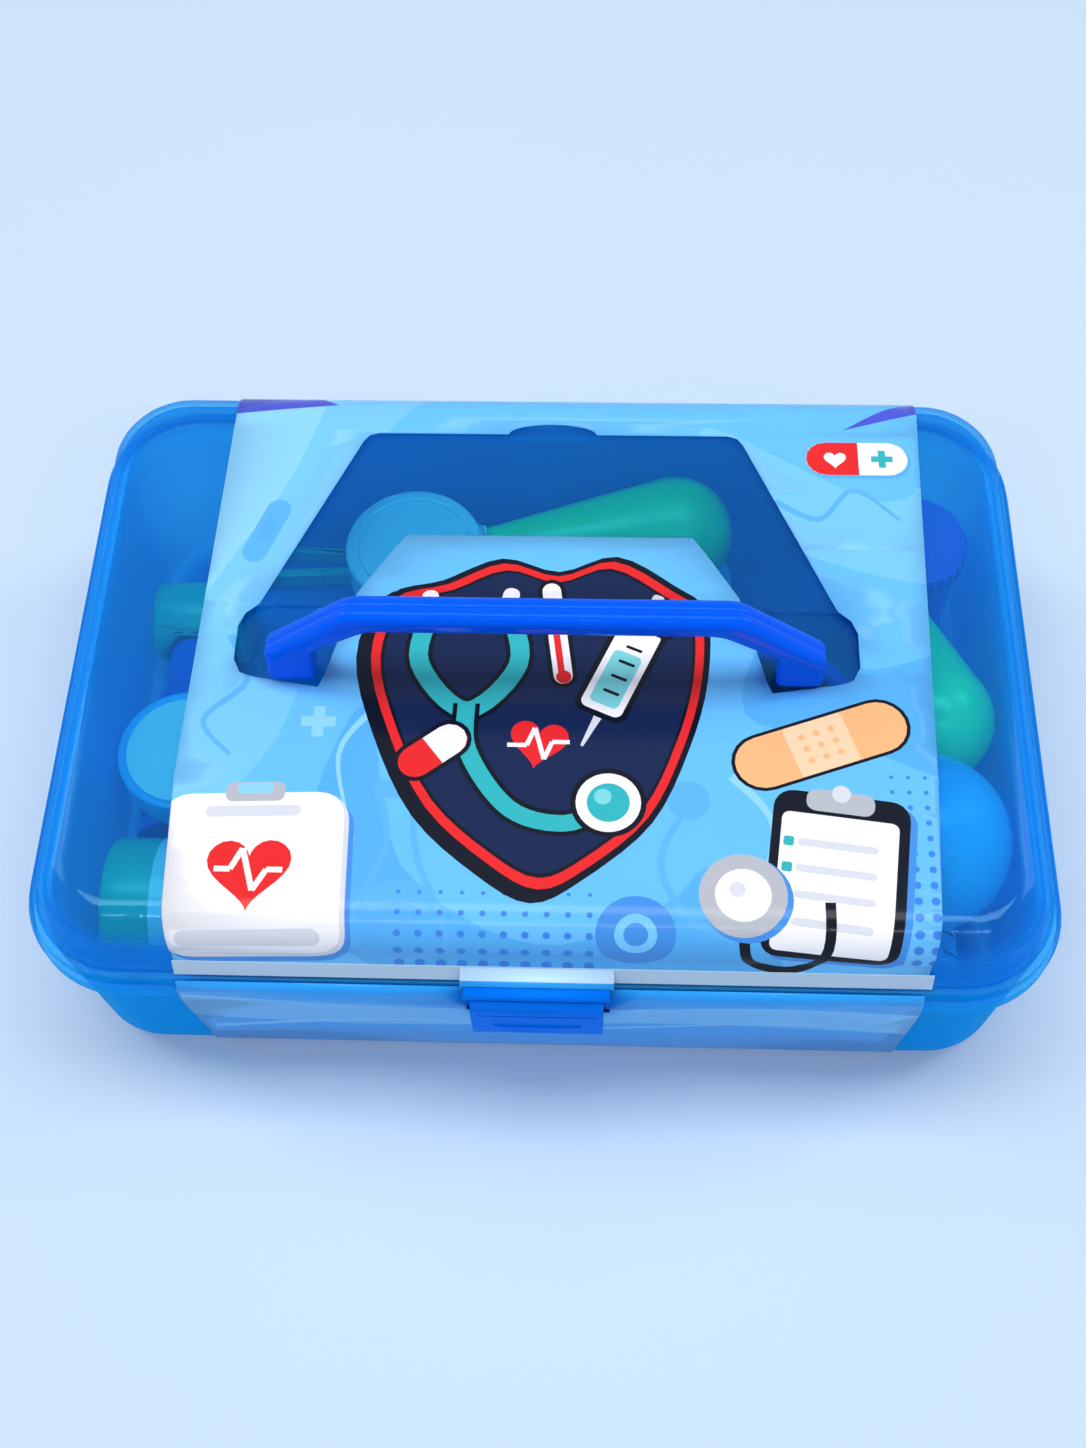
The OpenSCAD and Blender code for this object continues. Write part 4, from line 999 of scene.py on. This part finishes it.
# %% Floor
REACH = 4.0  # m
FADE_FROM, FADE_TO = 0.7, 1.5  # m from the case
STUDIO, STUDIO_LEVEL = "#e6f3ff", 0.9  # the room's colour and brightness
floor_mesh = bpy.data.meshes.new("floor")
floor_corners = [(-REACH, -REACH, 0), (REACH, -REACH, 0), (REACH, REACH, 0), (-REACH, REACH, 0)]
floor_mesh.from_pydata(floor_corners, [], [(0, 1, 2, 3)])
floor = put("floor", floor_mesh)
floor_paper = moulded("floor_matt_paper", "#cbddf0", "#c6daef", rough=0.9, peel_mm=1.5, peel_depth=0.01,
                      cloud_mm=600)
floor_mesh.materials.append(floor_paper)


def seen_directly(tree):
    """1 for the rays that show the background, from the camera, a gloss or a clear piece, and 0 for the others."""
    rays = add(tree, "ShaderNodeLightPath").outputs
    mirrored = add(tree, "ShaderNodeMath", {
        0: rays["Is Glossy Ray"], 1: rays["Is Transmission Ray"]}, operation="MAXIMUM").outputs[0]
    return add(tree, "ShaderNodeMath", {0: rays["Is Camera Ray"], 1: mirrored}, operation="MAXIMUM").outputs[0]


# Far from the case the camera sees the paper fade into the room, as it does where a roll of paper curves up.
paper = floor_paper.node_tree
paper_end = paper.nodes["Material Output"].inputs["Surface"]
place = add(paper, "ShaderNodeTexCoord").outputs["Object"]
distance = add(paper, "ShaderNodeVectorMath", {0: place}, operation="LENGTH").outputs["Value"]
far = add(paper, "ShaderNodeMapRange", {"Value": distance, "From Min": FADE_FROM, "From Max": FADE_TO}).outputs[0]
faded = add(paper, "ShaderNodeMath", {0: far, 1: seen_directly(paper)}, operation="MULTIPLY").outputs[0]
backdrop = add(paper, "ShaderNodeEmission", {"Color": linear(STUDIO), "Strength": STUDIO_LEVEL}).outputs[0]
curved = add(paper, "ShaderNodeMixShader", {0: faded, 1: paper_end.links[0].from_socket, 2: backdrop}).outputs[0]
paper.links.new(curved, paper_end)
print("floor side in m:", 2 * REACH)

# %% Lights
# The room is bright in front and dim behind, so the flat lid mirrors little and its blue stays deep.
world = bpy.data.worlds.new("studio")
world.use_nodes = True
sky = world.node_tree
sky.nodes.clear()
FRONT_LEVEL, BACK_LEVEL = 0.45, 0.08
way = add(sky, "ShaderNodeTexCoord").outputs["Generated"]
depth = add(sky, "ShaderNodeSeparateXYZ", {"Vector": way}).outputs["Y"]
fade = add(sky, "ShaderNodeMapRange", {
    "Value": depth, "From Min": -0.4, "From Max": 0.35, "To Min": FRONT_LEVEL, "To Max": BACK_LEVEL}).outputs[0]
level = add(sky, "ShaderNodeMix", {0: seen_directly(sky), 2: fade, 3: STUDIO_LEVEL}).outputs[0]
room = add(sky, "ShaderNodeBackground", {"Color": linear(STUDIO), "Strength": level}).outputs[0]
add(sky, "ShaderNodeOutputWorld", {"Surface": room})
bpy.context.scene.world = world


def softbox(name, at, size, power):
    """An area lamp that faces the middle of the case. Its place and size are in metres, its power in watts."""
    lamp = bpy.data.lights.new(name, "AREA")
    lamp.shape, lamp.size, lamp.size_y, lamp.energy = "RECTANGLE", size[0], size[1], power
    box = put(name, lamp)
    box.location = at
    box.rotation_euler = (Vector((0, 0, 0.05)) - Vector(at)).to_track_quat("-Z", "Y").to_euler()


softbox("overhead", (0.0, 0.12, 1.5), (1.5, 0.5), 15)
softbox("front_strip", (0.0, -0.78, 1.15), (1.4, 0.01), 4)
softbox("left_side", (-1.3, 0.5, 1.1), (0.5, 0.8), 5)
softbox("right_side", (1.3, 0.5, 1.1), (0.5, 0.8), 5)
bpy.context.scene.view_settings.view_transform = "Standard"
